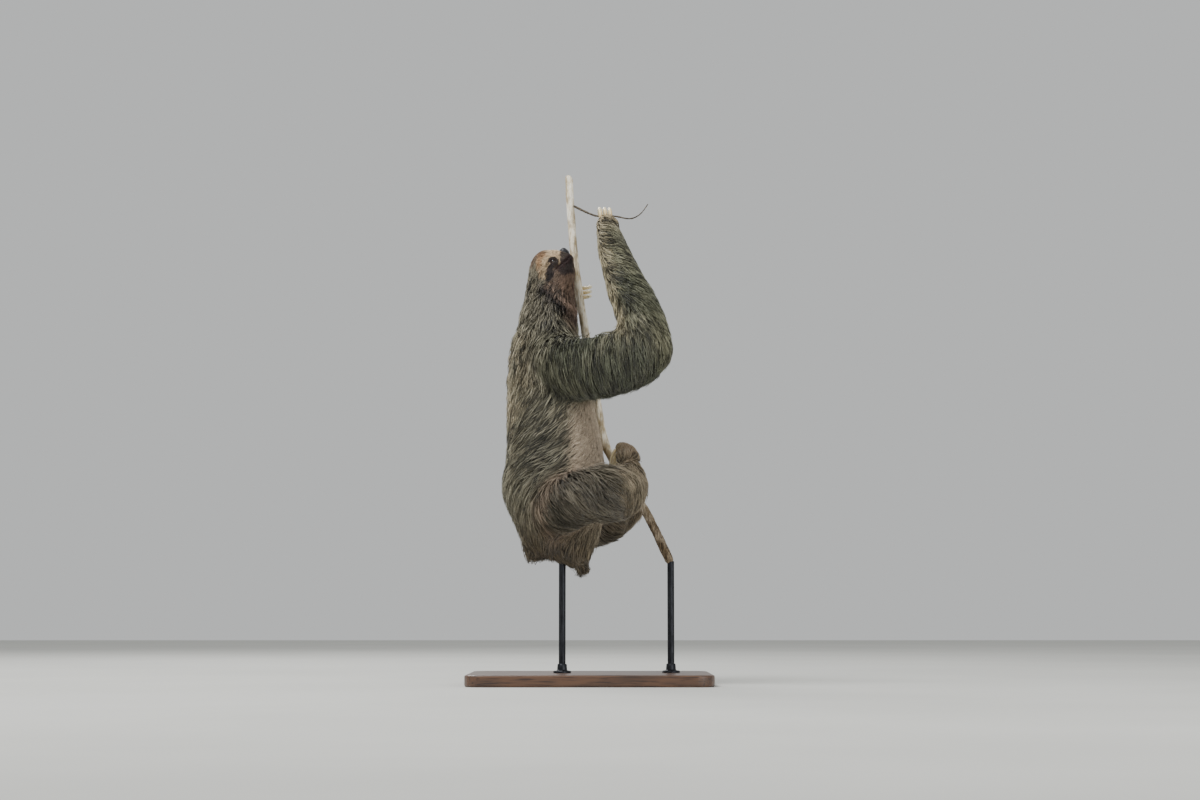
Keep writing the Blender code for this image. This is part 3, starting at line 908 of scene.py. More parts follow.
@dataclass
class Markings:
    """The coat's colours: pale brow, dark eye stripe, brown throat, algae and worn patches, with
    painted shadow in the crease behind the jaw, painted light on the lower throat and a painted rim
    highlight on the back.
    """

    head: HeadPlace

    def paint(self, points: np.ndarray, base: np.ndarray, share: dict) -> np.ndarray:
        """Colour places on the skin.

        Args:
            points: The places.
            base: Their plain coat colours.
            share: How much each place belongs to each node of flesh.

        Returns:
            Linear colours.
        """
        x, y, z = points.T
        wide = waves(points, 0.075, 3)
        small = waves(points, 0.026, 4)
        body = 1.0 - share["head"] - 0.8 * (share["foot_right"] + share["foot_left"])
        dark = 0.30 * ease(-0.1, 1.2, -wide) + 0.25 * ease(0, 1, small)
        made = toward(base, "#66655a", body * dark)
        pale = 0.40 * ease(0.0, 1.3, wide) + 0.2 * ease(0, 1, -small)
        made = toward(made, "#d3ccb8", body * pale)
        # Pale patches along the back edge: partly real pale fur, partly a painted rim highlight.
        back = ease(-0.075, -0.118, x) * ease(0.44, 0.48, z) * (1 - ease(0.60, 0.65, z))
        made = toward(made, "#f0e4cc", 0.9 * back * share["trunk"] * ease(-0.9, 0.3, small + wide))
        arm = share["upper_arm_right"] + share["forearm_right"] + share["upper_arm_left"]
        arm = arm * (1 - ease(0.70, 0.78, z))
        shoulder = share["trunk"] * ease(0.53, 0.60, z) * ease(-0.10, -0.04, x)
        algae = ease(-0.7, 0.7, waves(points, 0.055, 9))
        made = toward(made, "#6c7563", 0.6 * np.clip(arm + shoulder, 0, 1) * algae)
        belly = belly_share(points, share)
        made = toward(made, "#ecdccb", 0.97 * belly)
        rump = (share["trunk"] + share["tail"]) * (1 - ease(0.26, 0.36, z)) * (1 - belly)
        made = toward(made, "#86745f", 0.65 * rump)
        fold = 4 * share["trunk"] * (share["thigh_right"] + share["thigh_left"])
        made = toward(made, "#ae9686", 0.6 * fold)
        throat = throat_share(points, share)
        made = toward(made, "#a28a7e", 0.85 * throat)
        # Lower throat lightened: painted light against the shade below the jaw.
        made = toward(made, "#e2cab6", 0.9 * throat * ease(0.678, 0.655, z))
        heights = [0.602, 0.646, 0.688, 0.740, 0.778]
        inner = np.interp(z, heights, [0.072, 0.060, 0.044, 0.029, 0.022])
        raised = share["forearm_right"] + 0.6 * share["hand_right"]
        made = toward(made, "#e2d6b8", 0.75 * raised * ease(0.001, -0.007, x - inner))
        wrist = share["forearm_right"] * ease(0.70, 0.75, z) * ease(0.003, 0.010, x - inner)
        made = toward(made, "#5b5c54", 0.6 * wrist * ease(-0.6, 0.4, small))
        return self.paint_head(points, made, share)

    def paint_head(self, points: np.ndarray, colours: np.ndarray, shares: dict) -> np.ndarray:
        """Colour the head: cream brow, brown jaw, dark muzzle, the stripe behind the eye and painted
        shadow in the crease behind the jaw.
        """
        share = shares["head"]
        folded = FACE.mirrored_local(self.head.local(points))
        along, rise, out = folded.T
        ragged = waves(points, 0.008, 14) * 0.0009
        low = 1 - ease(-0.0100, -0.0065, rise + ragged)
        edge = np.interp(rise, [-0.004, 0.010, 0.022, 0.034], [-0.0090, -0.0035, 0.0040, 0.0180])
        face = share * ease(-0.0035, 0.0035, along - edge + ragged * 2)
        made = toward(colours, "#ffe6c8", 0.98 * face * (1 - low))
        stripe = segment_gap(folded, FACE.eye, FACE.mask_end) + ragged
        eye = FACE.eye_gap(folded) + ragged
        tan = face * ease(0.013, 0.022, np.minimum(stripe, eye)) * ease(0.029, 0.021, along)
        made = toward(made, "#c3946b", 0.75 * tan)
        top = share * ease(-0.006, 0.002, along) * ease(0.033, 0.026, along)
        top = top * ease(0.0165, 0.0235, rise) * ease(0.034, 0.022, out)
        made = toward(made, "#80604a", 0.75 * top)
        both = share + shares["neck"]
        jaw = both * ease(-0.001, 0.004, along - crease_line(rise)) * low
        made = toward(made, "#a28a7e", 0.9 * jaw)
        torn = ragged + waves(points, 0.005, 15) * 0.0008
        reach = segment_gap(folded[:, :2], (0.0456, -0.0009), (0.0226, -0.0205))
        made = toward(made, "#40363a", 0.92 * share * ease(0.0098, 0.0066, reach + torn))
        lips = ease(0.0056, 0.0028, np.abs(FACE.mouth_gap(folded)) + ragged)
        made = toward(made, "#4a3233", 0.9 * share * lips * ease(0.009, 0.018, along))
        made = toward(made, "#382a31", 0.97 * share * ease(0.0080, 0.0052, stripe))
        socket = np.array(FACE.eye)
        ends = socket + (0.0032, 0.0004, -0.0012), socket - (0.0010, -0.0004, 0.0)
        around = segment_gap(folded, *ends) + ragged
        made = toward(made, "#332628", 0.97 * share * ease(0.0094, 0.0068, around))
        # Dark band in the crease between the throat and the ruff: painted shadow.
        return toward(made, "#3d3037", 0.95 * both * crease_share(folded))


def belly_share(points: np.ndarray, share: dict) -> np.ndarray:
    """How much each place belongs to the smooth pale belly."""
    x, z = points[:, 0], points[:, 2]
    return share["trunk"] * ease(-0.034, -0.016, x) * ease(0.27, 0.31, z) * (1 - ease(0.49, 0.54, z))


def throat_share(points: np.ndarray, share: dict) -> np.ndarray:
    """How much each place belongs to the front of the neck."""
    return share["neck"] * ease(-0.056, -0.042, points[:, 0])


def crease_line(rise: np.ndarray) -> np.ndarray:
    """How far along the head the crease behind the jaw is, for a height on the head."""
    return -0.0265 + 0.25 * (rise + 0.012)


def crease_share(folded: np.ndarray) -> np.ndarray:
    """How much each head place lies in the crease between the throat and the ruff behind it."""
    along, rise, _ = folded.T
    off = along - crease_line(rise)
    return bell(off, 0.0050) * ease(0.004, -0.004, rise) * ease(-0.074, -0.060, rise)


# ---------------------------------------------------------------- skin


@dataclass
class Skin:
    """One skin over the whole body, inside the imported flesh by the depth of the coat.

    Most_sunk is the largest share of a limb's thickness that the skin may sink, and broad_hand
    is how much less it sinks on the raised hand. The three reaches say which part of the head
    is divided finely: near its centre, in front of its back, and once more round the eyes.
    """

    head: HeadPlace
    markings: Markings
    hide: bpy.types.Material
    voxel: float = 0.004
    swell: float = 0.0009
    most_sunk: float = 0.3
    broad_hand: float = 0.0045
    face_reach: float = 0.062
    face_back: float = -0.008
    eye_reach: float = 0.011
    piece: bpy.types.Object | None = None
    fields: CoatFields | None = None
    labels: tuple[str, ...] = tuple(COAT_LIES)

    def label_tree(self) -> tuple[BVHTree, np.ndarray]:
        """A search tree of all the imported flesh, and the node that each of its faces is in."""
        points: list = []
        faces: list = []
        owner: list = []
        for number, node in enumerate(self.labels):
            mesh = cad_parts[node].data
            start = len(points)
            points.extend(vert.co.copy() for vert in mesh.vertices)
            for face in mesh.polygons:
                faces.append([start + one for one in face.vertices])
                owner.append(number)
        return BVHTree.FromPolygons(points, faces), np.array(owner)

    def shares(self, points: np.ndarray, edges: np.ndarray, rounds: int) -> np.ndarray:
        """How much each point belongs to each node, blended over the joins between them."""
        tree, owner = self.label_tree()
        near = np.array([tree.find_nearest(Vector(point))[2] for point in points])
        flags = np.zeros((len(points), len(self.labels)))
        flags[np.arange(len(points)), owner[near]] = 1.0
        return spread_values(flags, edges, rounds)

    def named(self, shares: np.ndarray) -> dict[str, np.ndarray]:
        """The same shares under the names of the nodes."""
        return {node: shares[:, number] for number, node in enumerate(self.labels)}

    def table(self, shares: np.ndarray, pick: str) -> np.ndarray:
        """Blend one number of the coat's table over the points."""
        return shares @ np.array([getattr(COAT_LIES[node], pick) for node in self.labels])

    def depths(self, points: np.ndarray, shares: np.ndarray) -> np.ndarray:
        """The coat's depth at each point, in metres, thin on the face and at the wrists."""
        depth = self.table(shares, "depth_mm") * MM
        share = self.named(shares)
        folded = FACE.mirrored_local(self.head.local(points))
        across = np.interp(folded[:, 0], [-0.045, -0.02, 0.0, 0.02, 0.045], [11, 9, 5.5, 2.6, 1.3])
        depth += (across * MM - depth) * share["head"]
        wrist = share["forearm_right"] * ease(0.68, 0.76, points[:, 2])
        depth += (5.0 * MM - depth) * wrist
        depth += (7.0 * MM - depth) * belly_share(points, share)
        return depth + 3.0 * MM * crease_share(folded) * (share["head"] + share["neck"])

    def build(self) -> bpy.types.Object:
        """Make the skin, shape the face and work out what the coat is like all over it."""
        skin = copy_nodes(list(self.labels), "hide")
        mesh = skin.data
        move_points(mesh, points_of(mesh) + normals_of(mesh) * self.swell)
        remesh(skin, self.voxel)
        self.keep_largest(skin)
        self.sink(skin)
        self.refine(skin, lambda folded: folded[:, 0] > self.face_back, 3)
        self.refine(skin, lambda folded: FACE.eye_gap(folded) < self.eye_reach, 1)
        self.shape_face(skin)
        self.work_out(skin)
        self.unwrap(skin)
        bpy.ops.object.shade_smooth()
        self.piece = skin
        finish_piece(skin, self.hide, self.labels)
        return skin

    def keep_largest(self, skin: bpy.types.Object) -> None:
        """Drop every island of the skin but the largest."""
        edges = edges_of(skin.data)
        island = np.arange(len(skin.data.vertices))
        while True:
            low = np.minimum(island[edges[:, 0]], island[edges[:, 1]])
            fresh = island.copy()
            np.minimum.at(fresh, edges[:, 0], low)
            np.minimum.at(fresh, edges[:, 1], low)
            fresh = fresh[fresh]
            if (fresh == island).all():
                break
            island = fresh
        names, counts = np.unique(island, return_counts=True)
        stray = island != names[counts.argmax()]
        log.info("skin islands: %d", len(names))
        if stray.any():
            edit_chosen(skin, "VERT", stray, lambda: bpy.ops.mesh.delete(type="VERT"))

    def sink(self, skin: bpy.types.Object) -> None:
        """Move the skin in by the coat's depth, but never by much of a limb's thickness."""
        mesh = skin.data
        edges = edges_of(mesh)
        points = points_of(mesh)
        normals = spread_values(normals_of(mesh), edges, 4)
        normals /= np.linalg.norm(normals, axis=1)[:, None]
        shares = self.shares(points, edges, 14)
        depth = self.depths(points, shares)
        tree = BVHTree.FromPolygons(
            [Vector(point) for point in points], [list(face.vertices) for face in mesh.polygons]
        )
        thick = np.full(len(points), 1.0)
        for number, (point, normal) in enumerate(zip(points, normals)):
            inward = Vector(-normal)
            hit = tree.ray_cast(Vector(point) + inward * 0.0005, inward)
            if hit[3] is not None:
                thick[number] = hit[3]
        depth = np.minimum(depth + self.swell, self.most_sunk * thick)
        hand = self.named(shares)["hand_right"] * ease(0.786, 0.798, points[:, 2])
        depth -= self.broad_hand * hand * ease(0.817, 0.807, points[:, 2])
        depth = spread_values(depth, edges, 8)
        points = spread_values(points - normals * depth[:, None], edges, 3)
        move_points(mesh, points)

    def refine(
        self, skin: bpy.types.Object, pick: Callable[[np.ndarray], np.ndarray], cuts: int
    ) -> None:
        """Divide the faces of part of the head.

        Args:
            skin: The skin.
            pick: Tells from folded head places which ones to divide.
            cuts: Cuts across each face.
        """
        mesh = skin.data
        points = points_of(mesh)
        near = np.linalg.norm(points - self.head.centre, axis=1) < self.face_reach
        chosen = pick(FACE.mirrored_local(self.head.local(points))) & near
        flags = [all(chosen[one] for one in face.vertices) for face in mesh.polygons]
        edit_chosen(skin, "FACE", flags, lambda: bpy.ops.mesh.subdivide(number_cuts=cuts))
        points = points_of(mesh)
        even = spread_values(points, edges_of(mesh), 4)
        away = np.linalg.norm(points - self.head.centre, axis=1)
        inside = ease(self.face_reach, self.face_reach - 0.010, away)
        inside *= ease(-0.010, -0.002, self.head.local(points)[:, 0])
        move_points(mesh, points + (even - points) * inside[:, None])

    def shape_face(self, skin: bpy.types.Object) -> None:
        """Give the face its eye sockets and lids, brow, lips and the groove of the mouth."""
        mesh = skin.data
        points = points_of(mesh)
        local = self.head.local(points)
        folded = FACE.mirrored_local(local)
        near = np.linalg.norm(points - self.head.centre, axis=1) < self.face_reach + 0.003
        side = np.where(local[:, 2] < 0, -1.0, 1.0)
        axis = np.array(FACE.look) / np.linalg.norm(FACE.look)
        reach, height = FACE.lid_reach(folded)
        wanted = np.where(reach < 1.0, -0.0005, 0.0040 - 0.0007 * (reach - 1.0))
        blend = near * (1 - ease(1.5, 3.4, reach))
        shift = (wanted - height) * blend
        lines = np.tile(axis, (len(side), 1))
        lines[:, 2] *= side
        points = points + (lines * shift[:, None]) @ self.head.axes
        normals = spread_values(normals_of(mesh), edges_of(mesh), 3)
        gap = FACE.mouth_gap(folded)
        raise_mm = -1.7 * bell(gap, 0.0011)
        raise_mm += 0.8 * bell(gap - 0.0032, 0.0018)
        raise_mm += 0.6 * bell(gap + 0.0032, 0.0018)
        brow = segment_gap(folded, (0.024, 0.011, 0.028), (0.010, 0.0105, 0.038))
        raise_mm += 1.6 * bell(brow, 0.0055)
        stop = segment_gap(folded, (0.030, 0.006, 0.024), (0.036, 0.010, 0.010))
        raise_mm -= 1.3 * bell(stop, 0.005)
        ring = np.linalg.norm(folded - np.array(FACE.nose), axis=1)
        raise_mm -= 0.9 * bell(ring - 0.0115, 0.0018) * ease(0.03, 0.04, folded[:, 0])
        points = points + normals * (raise_mm * MM * near * ease(0.0, 0.008, folded[:, 0]))[:, None]
        move_points(mesh, points)

    def work_out(self, skin: bpy.types.Object) -> None:
        """Work out the coat's fields and store the markings on the skin."""
        mesh = skin.data
        edges = edges_of(mesh)
        points = points_of(mesh)
        shares = self.shares(points, edges, 10)
        share = self.named(shares)
        folded = FACE.mirrored_local(self.head.local(points))
        along = folded[:, 0]
        head = share["head"]
        front = head * ease(-0.02, 0.012, along)
        length = self.table(shares, "length_mm")
        length += (np.interp(along, [-0.04, -0.01, 0.02, 0.045], [30, 17, 8, 4.5]) - length) * head
        width = self.table(shares, "width_mm")
        width += (np.interp(along, [-0.04, 0.0, 0.02, 0.045], [1.6, 1.0, 0.7, 0.5]) - width) * head
        smooth = belly_share(points, share)
        length += (20 - length) * smooth
        width += (0.9 - width) * smooth
        above = folded - np.array((0.010, 0.0, 0.0))
        crease = np.clip(crease_share(above) + crease_share(folded), 0, 1)
        length *= 1 - 0.62 * crease * (head + share["neck"])
        claw = self.claw_gap(points)
        length *= 0.35 + 0.65 * ease(0.002, 0.016, claw)
        base = shares @ np.array([linear(COAT_LIES[node].shade)[:3] for node in self.labels])
        colour = self.markings.paint(points, base, share)
        paws = sum(share[f"{end}_{side.word}"] for end in ("hand", "foot") for side in Side)
        colour = toward(colour, "#d8c8a8", 0.8 * paws * ease(0.018, 0.004, claw))
        reach, _ = FACE.lid_reach(folded)
        nose = np.linalg.norm(folded - np.array(FACE.nose), axis=1)
        gap = np.abs(FACE.mouth_gap(folded))
        bare = np.maximum(ease(1.55, 1.25, reach), ease(0.0118, 0.0098, nose))
        bare = np.maximum(bare, ease(0.0013, 0.0007, gap)) * ease(0.2, 0.5, head)
        store_floats(mesh, "bare_skin", bare)
        store_colours(mesh, "coat_colour", colour)
        cover = self.table(shares, "cover") * (1.0 - ease(0.3, 0.6, bare))
        cover = cover * ease(0.0008, 0.0028, claw)
        # Feet and throat get a paler lock tint as painted light, against the shade they sit in.
        throat = throat_share(points, share)
        painted_light_feet_throat = np.maximum(share["foot_right"] + share["foot_left"], throat)
        legs = sum(share[f"{part}_{side.word}"] for part in ("thigh", "shank") for side in Side)
        legs = legs + share["trunk"] * ease(0.40, 0.32, points[:, 2])
        depth = self.depths(points, shares) * (1 - 0.25 * front)
        self.fields = CoatFields(
            depth=depth,
            length=length * MM,
            width=width * MM,
            flow=self.flows(points, normals_of(mesh), shares, edges),
            colour=colour,
            droop=self.table(shares, "droop"),
            cover=cover,
            # Paler, smoother tint on belly, face, feet, throat and low legs: partly the real coat,
            # partly painted light.
            even=np.maximum.reduce([0.8 * smooth, 0.6 * front, 0.7 * painted_light_feet_throat, 0.4 * legs]),
            label=shares.argmax(1),
        )

    def claw_gap(self, points: np.ndarray) -> np.ndarray:
        """Distance from each point to the nearest claw, up to 30 mm."""
        claws = [node for name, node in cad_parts.items() if name.startswith("claw_")]
        tree = tree_of([vert.co for node in claws for vert in node.data.vertices])
        return np.array([min(0.03, tree.find(Vector(point))[2]) for point in points])

    def flows(
        self, points: np.ndarray, normals: np.ndarray, shares: np.ndarray, edges: np.ndarray
    ) -> np.ndarray:
        """The way the hair points at each place on the skin, along its surface."""
        share = self.named(shares)
        flow = shares @ np.array([COAT_LIES[node].flow for node in self.labels])
        z = points[:, 2]
        trunk = share["trunk"][:, None]
        heights = [0.20, 0.26, 0.31, 0.37, 0.43, 0.49, 0.54, 0.60]
        sweep = np.stack(
            [
                np.interp(z, heights, [0.0, -0.2, -0.5, -0.85, -0.8, -0.5, -0.15, -0.05]),
                np.sign(points[:, 1]) * 0.25 * ease(0.0, 0.03, points[:, 0] + 0.02),
                np.interp(z, heights, [-1.0, -1.0, -0.9, -0.55, -0.6, -0.85, -1.0, -1.0]),
            ],
            1,
        )
        flow += (sweep - flow) * trunk
        rising = [0.60, 0.64, 0.69, 0.74, 0.78, 0.81]
        across = np.interp(z, rising, [0.45, 0.6, 0.8, 0.92, 0.95, 0.6])
        wrap = np.stack([across, np.full(len(z), -0.1), -np.sqrt(1.0 - across**2)], 1)
        raised = share["forearm_right"] + share["hand_right"]
        flow += (wrap - flow) * raised[:, None]
        tip = share["trunk"] * ease(0.250, 0.225, z) * ease(-0.055, -0.035, points[:, 0])
        flow += (np.array([0.55, 0.0, -0.85]) - flow) * tip[:, None]
        turned = np.array([-0.15, 0.1, -1.0])
        curl = ease(0.030, 0.078, points[:, 0])[:, None]
        for side in Side:
            flow += (turned - flow) * curl * share[f"shank_{side.word}"][:, None]
        local = self.head.local(points)
        side = np.sign(local[:, 2])[:, None]
        back = -self.head.face + self.head.right * side * 0.25
        rise = local[:, 1][:, None]
        back = back + self.head.up * np.clip(rise / 0.03, -1, 1) * 0.25
        low = ease(-0.014, -0.028, local[:, 0])[:, None]
        back = back + (np.array([-0.2, 0.0, -1.0]) - back) * 0.7 * low
        flow += (back - flow) * share["head"][:, None]
        for _ in range(4):
            flow -= normals * (flow * normals).sum(1)[:, None]
            flow = spread_values(flow, edges, 6)
        flow -= normals * (flow * normals).sum(1)[:, None]
        return flow / np.maximum(np.linalg.norm(flow, axis=1), 1e-6)[:, None]

    def unwrap(self, skin: bpy.types.Object) -> None:
        """Unwrap the skin by its own shape for the baked map."""
        skin.data.uv_layers.new(name=BAKE_MAP)
        with editing(skin):
            bpy.ops.uv.smart_project(angle_limit=math.radians(66), island_margin=0.002)


# ---------------------------------------------------------------- coat of locks


@dataclass
class Locks:
    """Every lock of the coat as arrays: one row for each lock, one column for each ring."""

    centre: np.ndarray
    normal: np.ndarray
    width: np.ndarray
    colour: np.ndarray
    tint: np.ndarray
    root_map: np.ndarray
    label: np.ndarray


@dataclass
class Coat:
    """Solid tapering locks that root on the skin, follow the lie of the hair and overlap.

    Fill is the share of its length times width that a lock covers. A lock turns off the flow
    by about stray, in radians, and waves by a share of its length. Each lock's place on the
    baked map is a patch of this size.
    """

    skin: Skin
    hair: bpy.types.Material
    seed: int = 11
    rings: int = 4
    sides: int = 3
    flat: float = 0.7
    clump_size: int = 6
    piece_locks: int = 8900
    most_locks: int = 67000
    patch: float = 0.003
    fill: float = 0.6
    quick_count: float = 0.4
    quick_width: float = 1.5
    stray: float = 0.16
    waving: float = 0.035
    smooth_and_painted_light_tint: float = 0.94

    def build(self) -> None:
        """Grow the coat over the skin, region by region."""
        rng = np.random.default_rng(self.seed)
        locks = self.grow(rng)
        labels = self.skin.labels
        for region, nodes in COAT_REGIONS.items():
            wanted = np.isin(locks.label, [labels.index(node) for node in nodes])
            chosen = np.flatnonzero(wanted)
            parts = max(1, math.ceil(len(chosen) / self.piece_locks))
            order = chosen[np.argsort(-locks.centre[chosen, 0, 2])]
            for number, batch in enumerate(np.array_split(order, parts)):
                suffix = f"_{number + 1}" if parts > 1 else ""
                self.mesh_piece(f"coat_{region}{suffix}", locks, batch)

    def grow(self, rng: np.random.Generator) -> Locks:
        """Root the locks and draw the line of each one over the skin."""
        mesh = self.skin.piece.data
        fields = self.skin.fields
        points = points_of(mesh)
        normals = normals_of(mesh)
        mesh.calc_loop_triangles()
        corners = rows_of(mesh.loop_triangles, "vertices", 3, int)
        loops = rows_of(mesh.loop_triangles, "loops", 3, int)
        maps = rows_of(mesh.uv_layers[BAKE_MAP].uv, "vector", 2, float)
        a, b, c = (points[corners[:, one]] for one in range(3))
        area = np.linalg.norm(np.cross(b - a, c - a), axis=1) / 2
        each = (fields.cover / (self.fill * fields.length * fields.width))[corners].mean(1) * area
        share = min(1.0, self.most_locks / each.sum())
        wide = 1.0 / math.sqrt(share)
        total = int(each.sum() * share)
        log.info("coat: %d locks of %d wanted, %.2f times as wide", total, int(each.sum()), wide)
        picked = rng.choice(len(corners), total, p=each / each.sum())
        mix = rng.dirichlet((1, 1, 1), total)
        corner = corners[picked]

        def blend(values: np.ndarray) -> np.ndarray:
            """Mix the values of each root's three corners."""
            weights = mix if values.ndim == 1 else mix[:, :, None]
            return (values[corner] * weights).sum(1)

        root = blend(points)
        length = blend(fields.length) * rng.uniform(0.75, 1.2, total)
        depth = blend(fields.depth)
        droop = blend(fields.droop)
        yaw = rng.normal(0, self.stray, total)
        line, up = self.follow(points, normals, corners, corner, root, yaw, length)
        up[:, 0] = blend(normals)
        up = unit_rows(up)
        t = np.linspace(0, 1, self.rings + 1)
        lift = rng.uniform(0.55, 1.04, total)
        rise = np.interp(t, [0, 0.25, 0.5, 0.75, 1.0], [-0.06, 0.42, 0.72, 0.92, 1.0])
        centre = line + up * (depth * lift)[:, None, None] * rise[None, :, None]
        under = np.clip(0.25 - up[:, :, 2], 0, 1)
        centre[:, :, 2] -= (droop * length)[:, None] * t[None, :] ** 2 * under
        centre, leader = self.clump(centre, root, length, t, rng)
        side = unit_rows(np.cross(up, np.gradient(centre, axis=1)))
        turns = rng.uniform(4, 9, total)[:, None]
        wave = np.sin(t[None, :] * turns + rng.uniform(0, 6.3, total)[:, None])
        centre += side * (wave * t[None, :] * (length * self.waving)[:, None])[:, :, None]
        clump_tone = waves(root, 0.006, 21) * 0.5 + waves(root, 0.014, 22) * 0.5
        tone = rng.normal(0, 1, total)
        tint = 0.46 + 0.12 * clump_tone + 0.34 * tone[leader] + 0.22 * tone
        # Pale even tint: a smoother coat, and partly painted light against the shade between the
        # locks.
        tint += (self.smooth_and_painted_light_tint - tint) * blend(fields.even)
        return Locks(
            centre=centre,
            normal=up,
            width=blend(fields.width) * wide * rng.uniform(0.7, 1.25, total),
            colour=blend(fields.colour),
            tint=np.clip(tint, 0, 1),
            root_map=(maps[loops[picked]] * mix[:, :, None]).sum(1),
            label=fields.label[corner[np.arange(total), mix.argmax(1)]],
        )

    def follow(
        self,
        points: np.ndarray,
        normals: np.ndarray,
        corners: np.ndarray,
        here: np.ndarray,
        root: np.ndarray,
        yaw: np.ndarray,
        length: np.ndarray,
    ) -> tuple[np.ndarray, np.ndarray]:
        """Draw the line of each lock over the skin, step by step along the flow.

        Args:
            points: The skin's points.
            normals: Their normals.
            corners: The skin's triangles.
            here: The triangle that each lock roots in.
            root: Where each lock roots.
            yaw: How far each lock turns off the flow, in radians.
            length: How long each lock is.

        Returns:
            The lines, and the skin's normals under them from the second place on.
        """
        tree = BVHTree.FromPolygons([Vector(one) for one in points], corners.tolist())
        line = np.empty((len(root), self.rings + 1, 3))
        up = np.empty_like(line)
        line[:, 0] = root
        for step in range(1, self.rings + 1):
            way = self.skin.fields.flow[here].mean(1)
            side = np.cross(normals[here].mean(1), way)
            way = way * np.cos(yaw)[:, None] + side * np.sin(yaw)[:, None]
            target = line[:, step - 1] + way * (length / self.rings)[:, None]
            found = [tree.find_nearest(Vector(one)) for one in target]
            line[:, step] = [one[0] for one in found]
            here = corners[[one[2] for one in found]]
            up[:, step] = normals[here].mean(1)
        return line, up

    def clump(
        self,
        centre: np.ndarray,
        root: np.ndarray,
        length: np.ndarray,
        t: np.ndarray,
        rng: np.random.Generator,
    ) -> tuple[np.ndarray, np.ndarray]:
        """Draw the locks' tips together round a few guides, as in a coat that isn't combed.

        Returns:
            The locks' lines, and the row of the lock that leads each one.
        """
        guides = rng.choice(len(root), len(root) // self.clump_size, replace=False)
        tree = tree_of(root[guides])
        near = np.array([tree.find(Vector(one))[1] for one in root])
        leader = guides[near]
        gap = np.linalg.norm(centre[:, -1] - centre[leader, -1], axis=1)
        pull = rng.uniform(0.35, 0.75, len(root)) * (gap < 0.5 * length)
        share = pull[:, None] * t[None, :] ** 1.5
        return centre + (centre[leader] - centre) * share[:, :, None], leader

    def mesh_piece(self, name: str, locks: Locks, batch: np.ndarray) -> None:
        """Make one piece of the coat.

        Args:
            name: The piece's name.
            locks: All of the locks.
            batch: The rows that this piece holds.
        """
        sides, rings = self.sides, self.rings
        count = len(batch)
        centre = locks.centre[batch]
        tangent = unit_rows(np.gradient(centre, axis=1))
        side = unit_rows(np.cross(tangent, locks.normal[batch]))
        over = np.cross(side, tangent)
        stations = np.linspace(0, 1, rings + 1)
        taper = np.interp(stations, [0, 0.3, 0.6, 0.8, 1], [0.8, 1, 0.85, 0.6, 0.0])
        half = locks.width[batch][:, None] / 2 * taper[None, :]
        per_lock = rings * sides + 1
        points = np.empty((count, per_lock, 3))
        offset = np.empty((per_lock, 2))
        t_of = np.empty(per_lock)
        for ring in range(rings):
            for corner in range(sides):
                turn = 2 * math.pi * corner / sides + math.pi / 2
                row = ring * sides + corner
                points[:, row] = (
                    centre[:, ring]
                    + side[:, ring] * (half[:, ring] * math.cos(turn))[:, None]
                    + over[:, ring] * (half[:, ring] * math.sin(turn) * self.flat)[:, None]
                )
                offset[row] = (self.patch * 0.4 * math.cos(turn), self.patch * (ring / rings - 0.5))
                t_of[row] = ring / rings
        points[:, -1] = centre[:, -1]
        offset[-1] = (0.0, self.patch * 0.5)
        t_of[-1] = 1.0
        loops, sizes = self.lock_faces()
        mesh = bpy.data.meshes.new(name)
        mesh.vertices.add(count * per_lock)
        mesh.vertices.foreach_set("co", points.ravel())
        corners = (np.array(loops)[None, :] + np.arange(count)[:, None] * per_lock).ravel()
        mesh.loops.add(len(corners))
        mesh.loops.foreach_set("vertex_index", corners)
        totals = np.tile(sizes, count)
        mesh.polygons.add(len(totals))
        mesh.polygons.foreach_set("loop_start", np.concatenate([[0], np.cumsum(totals)[:-1]]))
        mesh.polygons.foreach_set("loop_total", totals)
        mesh.update(calc_edges=True)
        mesh.polygons.foreach_set("use_smooth", np.ones(len(totals), bool))
        store_colours(mesh, "coat_colour", np.repeat(locks.colour[batch], per_lock, 0))
        store_floats(mesh, "lock_tint", np.repeat(locks.tint[batch], per_lock))
        store_floats(mesh, "lock_along", np.tile(t_of, count))
        inset = self.patch / 2
        base = np.clip(locks.root_map[batch], inset, 1 - inset)
        places = (base[:, None, :] + offset[None, :, :]).reshape(-1, 2)
        mesh.uv_layers.new(name=BAKE_MAP).uv.foreach_set("vector", places[corners].ravel())
        finish_piece(new_object(name, mesh), self.hair)

    def lock_faces(self) -> tuple[list[int], list[int]]:
        """The faces of one lock: its closed root, its sides and its point.

        Returns:
            The corners of all the faces in turn, and how many corners each face has.
        """
        sides, rings = self.sides, self.rings
        loops = list(range(sides))
        sizes = [sides]
        for ring in range(rings - 1):
            for corner in range(sides):
                after = (corner + 1) % sides
                low, high = ring * sides, (ring + 1) * sides
                loops += [low + corner, high + corner, high + after, low + after]
                sizes.append(4)
        last = (rings - 1) * sides
        for corner in range(sides):
            loops += [last + corner, rings * sides, last + (corner + 1) % sides]
            sizes.append(3)
        return loops, sizes


# ---------------------------------------------------------------- eyes, nose and claws


